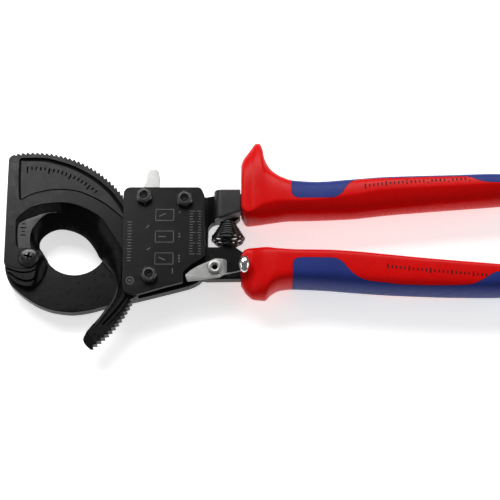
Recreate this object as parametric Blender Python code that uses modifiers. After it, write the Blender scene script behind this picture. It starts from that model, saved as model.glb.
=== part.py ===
"""Ratchet cable cutter: fixed jaw with the upper handle, toothed moving blade, lower handle
with its drive pawl, hold pawl with a release tab, storage latch, opening spring and
two-colour grips.

Drawing frame: millimetres, the blade pivot at (0, 0), +X from the jaws to the grips,
+Y towards the upper handle, +Z up from the surface that the tool lies on.
"""

import math

import bmesh
import bpy
from mathutils import Matrix, Vector

MM = 0.001

# ---------------------------------------------------------------- driving dimensions
BASE_CENTRE = (112.95, 8.01)  # centre of the tool's footprint, in the drawing frame

HEAD_TOP = 2.7  # thickness of the bolt heads under the frame
FRAME_Z = (3.0, 9.0)  # forged frame with the fixed jaw
MID_Z = (9.3, 14.8)  # moving blade, lower lever, sleeves
COVER_Z = (15.1, 17.6)
NUT_Z = (17.9, 21.0)

TIP_R = 54.2  # toothed edge of the moving blade
TOOTH_DEPTH = 1.2
PITCH = 2.5  # degrees, 144 teeth to the full turn
FIRST_TOOTH, LAST_TOOTH = 101.0, -54.0  # degrees

BOLT_A = (54.4, 29.7)
BOLT_B = (57.6, -9.9)
BOLT_C = (73.9, 28.1)  # the lower handle turns on this one
PAWL_PIN = (60.7, 23.8)
RIVET = (88.5, -5.3)
SPRING_POST = (64.2, 33.6)

BOLT_R, CLEAR_R = 2.0, 2.3
SLEEVE_R, SLEEVE_HOLE_R = 3.4, 3.7
OUTER_SLEEVE_R = {"a": SLEEVE_R, "b": 3.0, "c": SLEEVE_R}  # the blade's teeth pass close to b
NUT_FLATS = 7.0

SPRING_X, SPRING_Z = 94.7, 12.0
SPRING_Y = (6.3, 18.7)
SPRING_TURNS, SPRING_WIRE = 7.0, 0.65

GRIP_Z = (0.0, 21.0)
GRIP_SKIN = 1.5  # thickness of the blue layer
GAP = 0.3

# ---------------------------------------------------------------- scene, materials

for leftover in list(bpy.data.objects):
    bpy.data.objects.remove(leftover, do_unlink=True)

PARTS = bpy.data.collections.new("cable_cutter")
HELPERS = bpy.data.collections.new("cutters")
bpy.context.scene.collection.children.link(PARTS)
bpy.context.scene.collection.children.link(HELPERS)


def material(name, colour, roughness, metallic):
    made = bpy.data.materials.new(name)
    made.use_nodes = True
    shader = made.node_tree.nodes["Principled BSDF"]
    shader.inputs["Base Color"].default_value = (*colour, 1.0)
    shader.inputs["Roughness"].default_value = roughness
    shader.inputs["Metallic"].default_value = metallic
    return made


BLACK = material("black_steel", (0.02, 0.021, 0.023), 0.42, 0.6)
GROUND = material("ground_steel", (0.05, 0.05, 0.052), 0.25, 0.9)
SILVER = material("bright_steel", (0.62, 0.62, 0.6), 0.25, 1.0)
SPRING_STEEL = material("spring_steel", (0.03, 0.03, 0.03), 0.35, 0.8)
RED = material("red_plastic", (0.62, 0.012, 0.01), 0.38, 0.0)
BLUE = material("blue_plastic", (0.045, 0.085, 0.28), 0.45, 0.0)

# ---------------------------------------------------------------- axes

ROOT = bpy.data.objects.new("tool", None)
ROOT.location = (-BASE_CENTRE[0] * MM, -BASE_CENTRE[1] * MM, 0.0)
PARTS.objects.link(ROOT)


def axis_at(name, where, parent=None):
    """An empty on a joint's axis, placed in the drawing frame."""
    empty = bpy.data.objects.new(name, None)
    base = parent["at"] if parent else (0.0, 0.0)
    empty.parent = parent or ROOT
    empty.location = ((where[0] - base[0]) * MM, (where[1] - base[1]) * MM, 0.0)
    empty["at"] = where
    PARTS.objects.link(empty)
    return empty


BLADE_AXIS = axis_at("blade_axis", (0.0, 0.0))
HANDLE_AXIS = axis_at("handle_axis", BOLT_C)
DRIVE_AXIS = axis_at("drive_pawl_axis", PAWL_PIN, HANDLE_AXIS)
HOLD_AXIS = axis_at("hold_pawl_axis", BOLT_A)
LATCH_AXIS = axis_at("latch_axis", RIVET, HANDLE_AXIS)

# ---------------------------------------------------------------- shape helpers


def finish(obj, look, axis=None, angle=30.0):
    """Gives a part its material and hangs it on its axis; its mesh stays in the drawing frame."""
    obj.data.materials.clear()
    obj.data.materials.append(look)
    obj.parent = axis or ROOT
    at = axis["at"] if axis else (0.0, 0.0)
    obj.location = (-at[0] * MM, -at[1] * MM, 0.0)
    obj.data.shade_smooth()
    obj.data.set_sharp_from_angle(angle=math.radians(angle))
    return obj


def mesh_object(name, mesh):
    obj = bpy.data.objects.new(name, mesh)
    PARTS.objects.link(obj)
    return obj


def as_mesh(source, name):
    """The evaluated shape of a curve as a closed mesh object of its own."""
    bpy.context.view_layer.update()
    graph = bpy.context.evaluated_depsgraph_get()
    mesh = bpy.data.meshes.new_from_object(source.evaluated_get(graph))
    cage = bmesh.new()
    cage.from_mesh(mesh)
    bmesh.ops.remove_doubles(cage, verts=cage.verts, dist=1e-7)
    cage.transform(source.matrix_world)
    bmesh.ops.recalc_face_normals(cage, faces=cage.faces)
    cage.to_mesh(mesh)
    cage.free()
    bpy.data.objects.remove(source, do_unlink=True)
    return mesh_object(name, mesh)


def plate(name, outline, z, holes=()):
    """A flat outline with round or shaped holes, as thick as z[1] - z[0]."""
    curve = bpy.data.curves.new(name + "_outline", "CURVE")
    curve.dimensions = "2D"
    curve.fill_mode = "BOTH"
    curve.extrude = (z[1] - z[0]) / 2 * MM
    for loop in (outline, *holes):
        spline = curve.splines.new("POLY")
        spline.points.add(len(loop) - 1)
        for point, (x, y) in zip(spline.points, loop):
            point.co = (x * MM, y * MM, 0.0, 1.0)
        spline.use_cyclic_u = True
    guide = bpy.data.objects.new(name + "_outline", curve)
    guide.location.z = (z[0] + z[1]) / 2 * MM
    PARTS.objects.link(guide)
    return as_mesh(guide, name)


def circle(centre, radius, count=24, start=0.0):
    return [
        (
            centre[0] + radius * math.cos(start + 2 * math.pi * k / count),
            centre[1] + radius * math.sin(start + 2 * math.pi * k / count),
        )
        for k in range(count)
    ]


def arc(centre, radius, first, last, count):
    """Points on an arc, angles in degrees."""
    return [
        (
            centre[0] + radius * math.cos(math.radians(first + (last - first) * k / count)),
            centre[1] + radius * math.sin(math.radians(first + (last - first) * k / count)),
        )
        for k in range(count + 1)
    ]


def smooth(points, steps=4):
    """A Catmull-Rom curve through the points, its first and last point included."""
    ends = [points[0], *points, points[-1]]
    found = []
    for a, b, c, d in zip(ends, ends[1:], ends[2:], ends[3:]):
        for k in range(steps):
            t = k / steps
            found.append(
                tuple(
                    0.5
                    * (
                        2 * b[i]
                        + (c[i] - a[i]) * t
                        + (2 * a[i] - 5 * b[i] + 4 * c[i] - d[i]) * t * t
                        + (3 * b[i] - a[i] - 3 * c[i] + d[i]) * t**3
                    )
                    for i in range(2)
                )
            )
    return [*found, tuple(points[-1][:2])]


def rounded(corners, steps=5):
    """A polygon whose corners (x, y, radius) are rounded."""
    found = []
    count = len(corners)
    for k, (x, y, radius) in enumerate(corners):
        here = Vector((x, y))
        back = Vector(corners[k - 1][:2]) - here
        ahead = Vector(corners[(k + 1) % count][:2]) - here
        if radius <= 0:
            found.append((x, y))
            continue
        half = back.angle(ahead) / 2
        reach = radius / math.tan(half)
        middle = here + (back.normalized() + ahead.normalized()).normalized() * (
            radius / math.sin(half)
        )
        first = here + back.normalized() * reach - middle
        last = here + ahead.normalized() * reach - middle
        turn = first.angle_signed(last)
        for s in range(steps + 1):
            spoke = first.copy()
            spoke.rotate(Matrix.Rotation(-turn * s / steps, 2))
            found.append(tuple(middle + spoke))
    return found


def turned(name, centre, profile, steps=24):
    """A solid of revolution about a vertical axis; profile is (radius, z) from top to bottom."""
    mesh = bpy.data.meshes.new(name)
    cage = bmesh.new()
    row = [cage.verts.new((r * MM, 0.0, z * MM)) for r, z in profile]
    closed = profile[0][0] > 0
    for a, b in zip(row, row[1:]):
        cage.edges.new((a, b))
    if closed:
        cage.edges.new((row[-1], row[0]))
    cage.to_mesh(mesh)
    cage.free()
    obj = mesh_object(name, mesh)
    screw = obj.modifiers.new("turn", "SCREW")
    screw.axis = "Z"
    screw.angle = 2 * math.pi
    screw.steps = screw.render_steps = steps
    screw.use_merge_vertices = True
    screw.merge_threshold = 1e-6
    apply_modifiers(obj)
    cage = bmesh.new()
    cage.from_mesh(obj.data)
    bmesh.ops.remove_doubles(cage, verts=cage.verts, dist=1e-7)
    cage.transform(Matrix.Translation((centre[0] * MM, centre[1] * MM, 0.0)))
    bmesh.ops.recalc_face_normals(cage, faces=cage.faces)
    cage.to_mesh(obj.data)
    cage.free()
    return obj


def ring(name, centre, inner, outer, z):
    return turned(name, centre, [(outer, z[1]), (outer, z[0]), (inner, z[0]), (inner, z[1])])


def apply_modifiers(obj):
    bpy.context.view_layer.update()
    graph = bpy.context.evaluated_depsgraph_get()
    mesh = bpy.data.meshes.new_from_object(obj.evaluated_get(graph))
    obj.modifiers.clear()
    obj.data = mesh
    return obj


def boolean(obj, other, operation):
    """Joins or cuts with another object and removes that one."""
    step = obj.modifiers.new(operation, "BOOLEAN")
    step.operation = operation
    step.solver = "EXACT"
    step.object = other
    apply_modifiers(obj)
    bpy.data.objects.remove(other, do_unlink=True)
    return obj


def copy_of(obj, name):
    twin = bpy.data.objects.new(name, obj.data.copy())
    PARTS.objects.link(twin)
    return twin


def wire(name, points, radius):
    """A round wire through points (x, y, z), as a solid with closed ends."""
    curve = bpy.data.curves.new(name + "_path", "CURVE")
    curve.dimensions = "3D"
    curve.bevel_depth = radius * MM
    curve.bevel_resolution = 2
    curve.use_fill_caps = True
    spline = curve.splines.new("POLY")
    spline.points.add(len(points) - 1)
    for point, place in zip(spline.points, points):
        point.co = (*[c * MM for c in place], 1.0)
    guide = bpy.data.objects.new(name + "_path", curve)
    PARTS.objects.link(guide)
    return as_mesh(guide, name)


def turn_about(points, centre, degrees):
    c, s = math.cos(math.radians(degrees)), math.sin(math.radians(degrees))
    return [
        (
            centre[0] + (x - centre[0]) * c - (y - centre[1]) * s,
            centre[1] + (x - centre[0]) * s + (y - centre[1]) * c,
        )
        for x, y in points
    ]


def polar(radius, degrees):
    return (radius * math.cos(math.radians(degrees)), radius * math.sin(math.radians(degrees)))


# ---------------------------------------------------------------- moving blade


def toothed_edge():
    """Saw teeth clockwise from the first to the last; the steep flank faces anticlockwise."""
    found = []
    crest = FIRST_TOOTH
    while crest >= LAST_TOOTH - 1e-6:
        found.append(polar(TIP_R - TOOTH_DEPTH, crest + 0.6))
        found.append(polar(TIP_R, crest))
        crest -= PITCH
    return found


tail = smooth(
    [polar(TIP_R, LAST_TOOTH), (30.6, -43.9), (28.8, -42.5), (27.2, -40.4), (27.0, -38.9),
     (27.9, -37.6), (33.9, -29.9), (37.1, -25.0), (39.8, -21.1), (41.4, -17.1), (41.9, -13.2),
     (41.3, -10.2), (39.6, -6.4), (35.4, -1.2)],
    3,
)
mouth_edge = smooth(
    [(35.4, -1.2), (33.0, 1.8), (31.5, 4.6), (29.6, 7.6), (27.0, 10.8), (23.5, 13.4), (19.2, 15.2),
     (14.4, 15.8), (10.4, 14.8), (7.2, 12.4), (5.3, 9.6), (5.2, 6.6), (6.2, 3.2), (8.4, -1.0)],
    2,
)
hub_edge = smooth(
    [(8.4, -1.0), (8.3, -3.0), (6.9, -6.6), (4.4, -10.2), (0.0, -12.3), (-4.6, -11.2),
     (-8.4, -7.2), (-10.3, -2.2)],
    3,
)
moving_blade = plate(
    "moving_blade",
    [*toothed_edge(), *tail[1:], *mouth_edge[1:], *hub_edge[1:], (-11.2, 50.0), (-11.8, 51.6)],
    MID_Z,
    holes=[circle((0, 0), 4.5)],
)
finish(moving_blade, BLACK, BLADE_AXIS)

pivot_bush = ring("blade_pivot_bush", (0, 0), 3.1, 4.2, (9.3, 14.8))
finish(pivot_bush, GROUND, BLADE_AXIS)

pivot_screw = turned(
    "blade_pivot_screw",
    (0, 0),
    [(0.0, 17.4), (2.2, 17.3), (3.9, 16.8), (4.75, 15.9), (4.75, 15.1), (2.8, 15.1), (2.8, 1.0),
     (0.0, 1.0)],
)
for turn in (0.0, 90.0):
    bpy.ops.mesh.primitive_cube_add(size=1)
    slot = bpy.context.object
    slot.data.transform(
        Matrix.Rotation(math.radians(turn - 14), 4, "Z") @ Matrix.Diagonal((0.0048, 0.0011, 0.003, 1))
    )
    slot.data.transform(Matrix.Translation((0, 0, 0.0174)))
    boolean(pivot_screw, slot, "DIFFERENCE")
finish(pivot_screw, GROUND)

pivot_nut = plate("blade_pivot_nut", circle((0, 0), 6.0, 6), (0.0, HEAD_TOP), [circle((0, 0), 3.1)])
finish(pivot_nut, GROUND)

# ---------------------------------------------------------------- fixed frame

jaw_outer = smooth(
    [(-12.0, 1.5), (-11.9, -4.0), (-9.6, -10.4), (-5.3, -15.0), (0.4, -19.3), (5.6, -22.2),
     (12.0, -24.4), (20.7, -25.4), (28.5, -24.4), (36.0, -22.4), (44.0, -20.2)],
    3,
)
jaw_inner = arc((21.2, 9.2), 16.0, 8.0, -139.0, 20)[::-1]
frame_outline = [
    *jaw_outer,
    (50.0, -19.2), (57.2, -17.4), (67.2, -14.8), (76.0, -12.4), (80.0, -10.6), (83.2, -7.6),
    (85.0, -3.5), (85.0, 13.9),
    *arc((89.9, 15.6), 4.9, 195.0, 95.0, 5),
    (97.6, 20.0), (100.4, 22.6), (100.4, 33.8), (88.4, 34.6), (84.0, 34.4), (82.0, 35.4),
    (47.5, 35.4), (45.5, 31.0), (41.0, 18.0),
    *jaw_inner[::-1],
    (6.6, 3.2), (3.6, 7.2), (-1.0, 9.0), (-6.0, 8.6), (-10.2, 5.8),
]
fixed_frame = plate(
    "fixed_frame",
    frame_outline,
    FRAME_Z,
    holes=[circle((0, 0), 3.1), circle(BOLT_A, CLEAR_R), circle(BOLT_B, CLEAR_R), circle(BOLT_C, CLEAR_R)],
)
tang_block = plate(
    "tang_block",
    rounded([(89.2, 19.9, 1.5), (97.4, 20.1, 1.0), (100.5, 22.9, 0.4), (100.5, 33.6, 0.4),
             (88.8, 33.6, 3.5)]),
    (5.0, 17.5),
)
boolean(fixed_frame, tang_block, "UNION")
upper_core = plate(
    "upper_core",
    [(98.0, 24.0), (135.0, 25.4), (170.0, 28.2), (215.0, 31.0), (218.0, 33.0), (218.0, 36.0),
     (215.0, 38.0), (170.0, 36.4), (135.0, 33.6), (98.0, 32.6)],
    (7.0, 14.0),
)
boolean(fixed_frame, upper_core, "UNION")
finish(fixed_frame, BLACK)

# ---------------------------------------------------------------- cover, bolts, nuts, sleeves

cover_plate = plate(
    "cover_plate",
    rounded([(44.4, 34.9, 3.3), (81.6, 34.9, 2.5), (83.4, 30.5, 2.0), (84.0, 0.2, 1.0),
             (80.1, -2.7, 2.0), (77.1, -4.5, 2.0), (73.6, -7.9, 1.0), (73.6, -13.0, 1.2),
             (66.0, -15.0, 3.0), (52.0, -19.2, 2.0), (45.2, -19.4, 4.6)][::-1]),
    COVER_Z,
    holes=[circle(BOLT_A, CLEAR_R), circle(BOLT_B, CLEAR_R), circle(BOLT_C, CLEAR_R)],
)
finish(cover_plate, BLACK)

for letter, where in (("a", BOLT_A), ("b", BOLT_B), ("c", BOLT_C)):
    bolt = turned(
        "bolt_" + letter,
        where,
        [(0.0, 21.6), (1.6, 21.6), (BOLT_R, 21.2), (BOLT_R, HEAD_TOP), (4.0, HEAD_TOP), (4.4, 2.3),
         (4.4, 0.4), (4.0, 0.0), (0.0, 0.0)],
        20,
    )
    finish(bolt, BLACK)
    nut = plate(
        "nut_" + letter,
        circle(where, NUT_FLATS / math.sqrt(3), 6, math.radians(30)),
        NUT_Z,
        [circle(where, CLEAR_R, 18)],
    )
    finish(nut, BLACK)
    sleeve = ring("spacer_sleeve_" + letter, where, CLEAR_R, OUTER_SLEEVE_R[letter], MID_Z)
    finish(sleeve, GROUND)

post = turned(
    "pawl_spring_post", SPRING_POST, [(0.0, 14.8), (1.0, 14.8), (1.0, 9.3), (0.0, 9.3)], 12
)
finish(post, GROUND)

# ---------------------------------------------------------------- lower handle lever

lever_outline = [
    *arc(BOLT_C, 7.4, 205.0, -15.0, 12),
    (82.2, 20.0), (83.6, 9.0), (85.0, 5.3), (98.2, 5.3), (101.5, 3.0),
    *smooth([(108.0, -1.4), (135.0, -1.6), (170.0, -4.2), (214.0, -7.2)], 3),
    (217.0, -9.0), (217.0, -12.0),
    *smooth([(214.0, -13.6), (170.0, -11.2), (135.0, -8.8), (108.0, -9.6)], 3),
    (101.5, -10.6), (84.9, -10.8), (77.0, -9.6), (69.0, -2.0), (65.2, 8.0), (65.0, 20.0),
]
lever = plate("lower_lever", lever_outline, MID_Z, holes=[circle(BOLT_C, SLEEVE_HOLE_R)])
lever_arm = plate(
    "lever_arm",
    [*arc(PAWL_PIN, 3.3, 110.0, 290.0, 9), (70.0, 21.5), (69.0, 29.5)],
    (MID_Z[0], 11.2),
)
boolean(lever, lever_arm, "UNION")
pin_hole = turned("pin_hole", PAWL_PIN, [(0.0, 16.0), (1.9, 16.0), (1.9, 8.0), (0.0, 8.0)], 20)
boolean(lever, pin_hole, "DIFFERENCE")
notch = plate("lever_notch", circle(PAWL_PIN, 6.6, 24), (11.2, 16.0))
boolean(lever, notch, "DIFFERENCE")
rivet_hole = turned("rivet_hole", RIVET, [(0.0, 16.0), (2.4, 16.0), (2.4, 8.0), (0.0, 8.0)], 20)
boolean(lever, rivet_hole, "DIFFERENCE")
finish(lever, BLACK, HANDLE_AXIS)

pawl_pin = turned(
    "drive_pawl_pin", PAWL_PIN, [(0.0, 14.8), (1.4, 14.8), (1.6, 14.6), (1.6, 9.3), (0.0, 9.3)], 18
)
finish(pawl_pin, GROUND, HANDLE_AXIS)

# ---------------------------------------------------------------- pawls
# The hold pawl rests with its point down in a tooth gap. The drive pawl is drawn engaged with
# the handles closed, then swung back with the lever and lifted clear, as its stop does.

DRIVE_CREST = FIRST_TOOTH - 37 * PITCH  # the crest below the drive pawl's point
HOLD_CREST = FIRST_TOOTH - 32 * PITCH
STROKE = 12.0  # degrees that the lower handle turns
DRIVE_LIFT = 22.0


def point_in_gap(crest):
    """The pawl's point, from the steep flank over the tip to the long flank."""
    return [
        polar(TIP_R + 0.9, crest + 0.35),
        polar(TIP_R + 0.25, crest + 0.45),
        polar(TIP_R - TOOTH_DEPTH + 0.45, crest + 0.95),
        polar(TIP_R + 0.45, crest + 2.6),
        polar(TIP_R + 1.2, crest + 4.4),
    ]


pin_closed = turn_about([PAWL_PIN], BOLT_C, STROKE)[0]
drive_shape = [
    *point_in_gap(DRIVE_CREST),
    *arc(pin_closed, 3.1, 175.0, -40.0, 12),
    (59.2, 12.6),
    (56.6, 9.0),
]
drive_shape = turn_about(drive_shape, BOLT_C, -STROKE)
drive_pawl = plate(
    "drive_pawl",
    turn_about(drive_shape, PAWL_PIN, DRIVE_LIFT),
    (11.5, 13.3),
    holes=[circle(PAWL_PIN, 1.9, 18)],
)
finish(drive_pawl, GROUND, DRIVE_AXIS)

hold_shape = [
    *point_in_gap(HOLD_CREST),
    *arc(BOLT_A, 4.9, 190.0, -60.0, 16),
    (55.2, 20.8),
    (53.6, 19.2),
]
hold_pawl = plate(
    "hold_pawl",
    hold_shape,
    (9.4, 11.2),
    holes=[circle(BOLT_A, SLEEVE_HOLE_R)],
)
finish(hold_pawl, GROUND, HOLD_AXIS)

release_lever = plate(
    "release_lever",
    [
        *arc(BOLT_A, 4.9, 150.0, 370.0, 16),
        (61.0, 34.0), (61.6, 39.3), (61.2, 42.0),
        *arc((58.1, 42.3), 3.1, 0.0, 180.0, 8),
        (55.0, 39.0), (52.0, 35.0),
    ],
    (11.6, 12.9),
    holes=[circle(BOLT_A, SLEEVE_HOLE_R)],
)
finish(release_lever, SILVER, HOLD_AXIS)


def torsion_spring(name, centre, radius, z, first, turns, legs, gauge):
    """A wire coil about a pin, with a straight leg at each end."""
    count = int(16 * turns)
    coil = [
        (
            centre[0] + radius * math.cos(math.radians(first + 360 * turns * k / count)),
            centre[1] + radius * math.sin(math.radians(first + 360 * turns * k / count)),
            z[0] + (z[1] - z[0]) * k / count,
        )
        for k in range(count + 1)
    ]
    return wire(name, [(*legs[0], z[0]), *coil, (*legs[1], z[1])], gauge)


drive_spring = torsion_spring(
    "drive_pawl_spring", PAWL_PIN, 2.5, (13.75, 14.55), 250.0, 1.25, [(56.8, 14.6), (63.6, 19.2)], 0.22
)
finish(drive_spring, SPRING_STEEL, HANDLE_AXIS)
hold_spring = torsion_spring(
    "hold_pawl_spring", BOLT_A, 4.3, (13.9, 14.5), -50.0, 1.0, [(53.6, 23.4), (63.5, 31.8)], 0.22
)
finish(hold_spring, SPRING_STEEL)

# ---------------------------------------------------------------- storage latch

latch = plate(
    "latch_lever",
    rounded([(74.4, -9.4, 0.6), (75.6, -12.2, 0.8), (84.0, -11.0, 2.0), (91.0, -10.2, 2.0),
             (94.4, -8.6, 1.0), (94.4, -1.3, 1.2), (88.6, -1.0, 2.0), (80.1, -4.9, 2.0),
             (76.4, -7.4, 0.8)]),
    (15.1, 16.4),
    holes=[circle(RIVET, 2.4, 20)],
)
latch_arm = plate(
    "latch_arm",
    [(90.5, -9.9), (92.5, -9.6), (103.4, -8.4), (103.2, -6.6), (96.0, -8.0), (92.0, -8.2)],
    (16.0, 18.0),
)
boolean(latch, latch_arm, "UNION")
cage = bmesh.new()
bmesh.ops.create_uvsphere(cage, u_segments=16, v_segments=10, radius=1.0)
cage.transform(
    Matrix.Translation((0.1026, -0.0045, 0.0188)) @ Matrix.Diagonal((0.0029, 0.0042, 0.0027, 1))
)
knob_mesh = bpy.data.meshes.new("thumb_knob")
cage.to_mesh(knob_mesh)
cage.free()
boolean(latch, mesh_object("thumb_knob", knob_mesh), "UNION")
finish(latch, SILVER, LATCH_AXIS)

rivet = turned(
    "latch_rivet",
    RIVET,
    [(3.5, 17.3), (3.5, 16.7), (2.1, 16.7), (2.1, 9.0), (1.3, 9.0), (1.3, 17.3)],
)
finish(rivet, SILVER, HANDLE_AXIS)

# ---------------------------------------------------------------- opening spring


def spring_radius(share):
    """Barrel form: narrow ends, widest a little below the middle."""
    return 4.1 + 3.5 * math.sin(math.pi * share**1.15) ** 1.3


count = int(SPRING_TURNS * 14)
coil = []
for k in range(count + 1):
    share = k / count
    turn = 2 * math.pi * SPRING_TURNS * share
    radius = spring_radius(1 - share)
    coil.append(
        (
            SPRING_X + radius * math.cos(turn),
            SPRING_Y[0] + (SPRING_Y[1] - SPRING_Y[0]) * share,
            SPRING_Z + radius * math.sin(turn),
        )
    )
handle_spring = wire("handle_spring", coil, SPRING_WIRE)
finish(handle_spring, SPRING_STEEL)

for name, low, high, axis in (
    ("spring_peg_upper", 16.6, 19.6, None),
    ("spring_peg_lower", 5.6, 8.6, HANDLE_AXIS),
):
    peg = turned(name, (0, 0), [(0.0, high), (2.4, high), (2.4, low), (0.0, low)], 16)
    peg.data.transform(Matrix.Rotation(math.radians(-90), 4, "X"))
    peg.data.transform(Matrix.Translation((SPRING_X * MM, 0, SPRING_Z * MM)))
    finish(peg, BLACK, axis)

# ---------------------------------------------------------------- grips

UPPER_OUTER = [
    (100.7, 47.4), (101.5, 50.4), (104.0, 54.4), (106.4, 57.9), (108.0, 60.3), (109.6, 60.3),
    (111.0, 58.2), (112.2, 51.8), (115.5, 45.4), (119.7, 41.8), (126.4, 39.3), (137.2, 38.6),
    (153.9, 39.8), (170.7, 41.1), (187.4, 41.6), (204.2, 42.0), (220.7, 42.5), (230.5, 42.2),
    (235.5, 40.6), (238.0, 37.6),
]
UPPER_INNER = [
    (100.7, 23.4), (103.9, 18.9), (108.9, 19.0), (116.3, 19.9), (124.6, 21.0), (137.2, 21.2),
    (153.9, 21.8), (170.7, 23.6), (187.4, 25.1), (204.2, 26.5), (220.7, 27.8), (230.5, 28.8),
    (235.5, 30.4), (238.0, 33.4),
]
LOWER_INNER = [
    (101.0, 1.8), (102.6, 4.6), (105.5, 5.5), (112.1, 5.4), (118.6, 4.2), (128.6, 3.5),
    (140.8, 3.4), (153.1, 2.7), (169.5, 1.1), (185.8, -0.6), (202.2, -2.0), (218.3, -3.0),
    (230.5, -3.6), (235.5, -5.0), (238.0, -8.2),
]
LOWER_OUTER = [
    (101.0, -12.6), (103.5, -16.8), (107.1, -19.4), (112.0, -19.6), (115.3, -16.3),
    (119.5, -13.9), (126.0, -13.3), (136.7, -13.8), (153.1, -15.1), (169.5, -16.3),
    (185.8, -17.0), (202.2, -17.5), (218.3, -17.6), (230.5, -17.2), (235.5, -15.6),
    (238.0, -12.2),
]
HALF_THICK = [
    (100.7, 5.0), (103.0, 5.1), (105.6, 5.4), (108.0, 6.6), (112.0, 8.4), (118.0, 9.9),
    (126.0, 10.5), (228.0, 10.5), (233.0, 10.0), (236.0, 8.2), (238.0, 4.6),
]
UPPER_HALF_THICK = [
    (100.7, 7.6), (103.0, 8.8), (106.0, 10.0), (110.0, 10.5), (228.0, 10.5), (233.0, 10.0),
    (236.0, 8.2), (238.0, 4.6),
]
STATIONS = [
    100.9, 103.0, 105.6, 108.0, 109.6, 111.2, 113.5, 116.5, 120.0, 126.0, 135.0, 145.0, 156.0,
    170.0, 185.0, 200.0, 215.0, 227.0, 233.0, 236.0, 238.0,
]


def level(table, x):
    """Reads a (x, value) table, straight between its rows."""
    if x <= table[0][0]:
        return table[0][1]
    for (xa, a), (xb, b) in zip(table, table[1:]):
        if x <= xb:
            return a + (b - a) * (x - xa) / (xb - xa)
    return table[-1][1]


def grip_body(name, low, high, thick, inset=0.0, ring_count=16, power=2.7):
    """A loft of superellipse sections between two side outlines."""
    cage = bmesh.new()
    rings = []
    middle = (GRIP_Z[0] + GRIP_Z[1]) / 2
    stations = [x for x in STATIONS if inset == 0 or 101.0 + inset < x < 238.0 - inset]
    if inset:
        stations = [101.0 + inset, *stations, 238.0 - inset]
    for x in stations:
        y0, y1 = level(low, x) + inset, level(high, x) - inset
        half_y, half_z = (y1 - y0) / 2, level(thick, x) - inset
        loop = []
        for k in range(ring_count):
            a = 2 * math.pi * (k + 0.5) / ring_count
            c, s = math.cos(a), math.sin(a)
            loop.append(
                cage.verts.new(
                    (
                        x * MM,
                        ((y0 + y1) / 2 + half_y * math.copysign(abs(c) ** (2 / power), c)) * MM,
                        (middle + half_z * math.copysign(abs(s) ** (2 / power), s)) * MM,
                    )
                )
            )
        rings.append(loop)
    for one, two in zip(rings, rings[1:]):
        for k in range(ring_count):
            j = (k + 1) % ring_count
            cage.faces.new((one[k], one[j], two[j], two[k]))
    cage.faces.new(rings[0][::-1])
    cage.faces.new(rings[-1])
    bmesh.ops.recalc_face_normals(cage, faces=cage.faces)
    mesh = bpy.data.meshes.new(name)
    cage.to_mesh(mesh)
    cage.free()
    return mesh_object(name, mesh)


UPPER_BLUE = [
    (125.2, 70.0), (125.2, 33.0), (126.2, 29.6), (129.0, 28.0), (146.0, 28.6), (148.6, 30.2),
    (152.6, 36.2), (156.5, 38.4), (190.0, 39.4), (210.0, 39.6), (214.0, 37.6), (219.0, 36.2),
    (245.0, 36.2), (245.0, 70.0),
]
LOWER_BLUE = [
    (125.4, -50.0), (125.4, -5.0), (126.6, -2.8), (129.8, -1.9), (146.0, -2.2), (149.5, -4.0),
    (154.6, -10.4), (159.8, -13.0), (176.0, -14.8), (208.0, -15.2), (214.0, -13.6),
    (219.0, -9.8), (224.0, -8.6), (245.0, -8.6), (245.0, -50.0),
]


def grown(points, by):
    """The outline moved outwards by a small step along its corner normals."""
    found = []
    area = sum(
        a[0] * b[1] - b[0] * a[1] for a, b in zip(points, [*points[1:], points[0]])
    )
    side = 1.0 if area > 0 else -1.0
    for k, here in enumerate(points):
        before, after = Vector(points[k - 1]), Vector(points[(k + 1) % len(points)])
        here = Vector(here)
        one, two = (here - before).normalized(), (after - here).normalized()
        normal = Vector((one.y + two.y, -one.x - two.x)).normalized() * side
        scale = max(0.5, abs(normal.dot(Vector((one.y, -one.x)))))
        found.append(tuple(here + normal * by / scale))
    return found


for side, low, high, thick, blue, core, axis in (
    (
        "upper", UPPER_INNER, UPPER_OUTER, UPPER_HALF_THICK, UPPER_BLUE,
        ([(90.0, 23.5), (135.0, 25.0), (170.0, 27.8), (216.0, 30.6), (218.6, 32.8), (218.6, 36.4),
          (215.0, 38.5), (170.0, 36.9), (135.0, 34.1), (90.0, 33.1)], (6.6, 14.4)),
        None,
    ),
    (
        "lower", LOWER_OUTER, LOWER_INNER, HALF_THICK, LOWER_BLUE,
        ([(90.0, -11.0), (101.5, -11.0), (108.0, -10.1), (135.0, -9.3), (170.0, -11.7),
          (214.0, -14.1), (217.6, -12.3), (217.6, -8.7), (214.0, -6.6), (170.0, -3.6),
          (135.0, -1.0), (108.0, -0.8), (101.5, 3.6), (90.0, 3.6)], (9.0, 15.1)),
        HANDLE_AXIS,
    ),
):
    red = grip_body(side + "_grip_red", low, high, thick)
    skin = copy_of(red, side + "_grip_blue")
    region = plate(side + "_region", blue, (-5.0, 30.0))
    boolean(skin, region, "INTERSECT")
    inner = grip_body(side + "_inner", low, high, thick, GRIP_SKIN)
    boolean(skin, inner, "DIFFERENCE")

    pocket = plate(side + "_pocket", grown(blue, GAP), (-5.0, 30.0))
    heart = grip_body(side + "_heart", low, high, thick, GRIP_SKIN + GAP)
    boolean(pocket, heart, "DIFFERENCE")
    boolean(red, pocket, "DIFFERENCE")
    outline, core_z = core
    boolean(red, plate("core_hole", outline, core_z), "DIFFERENCE")
    finish(red, RED, axis, 40)
    finish(skin, BLUE, axis, 40)
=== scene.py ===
import math

import bmesh
import bpy
from mathutils import Matrix, Vector
from mathutils.bvhtree import BVHTree


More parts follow.
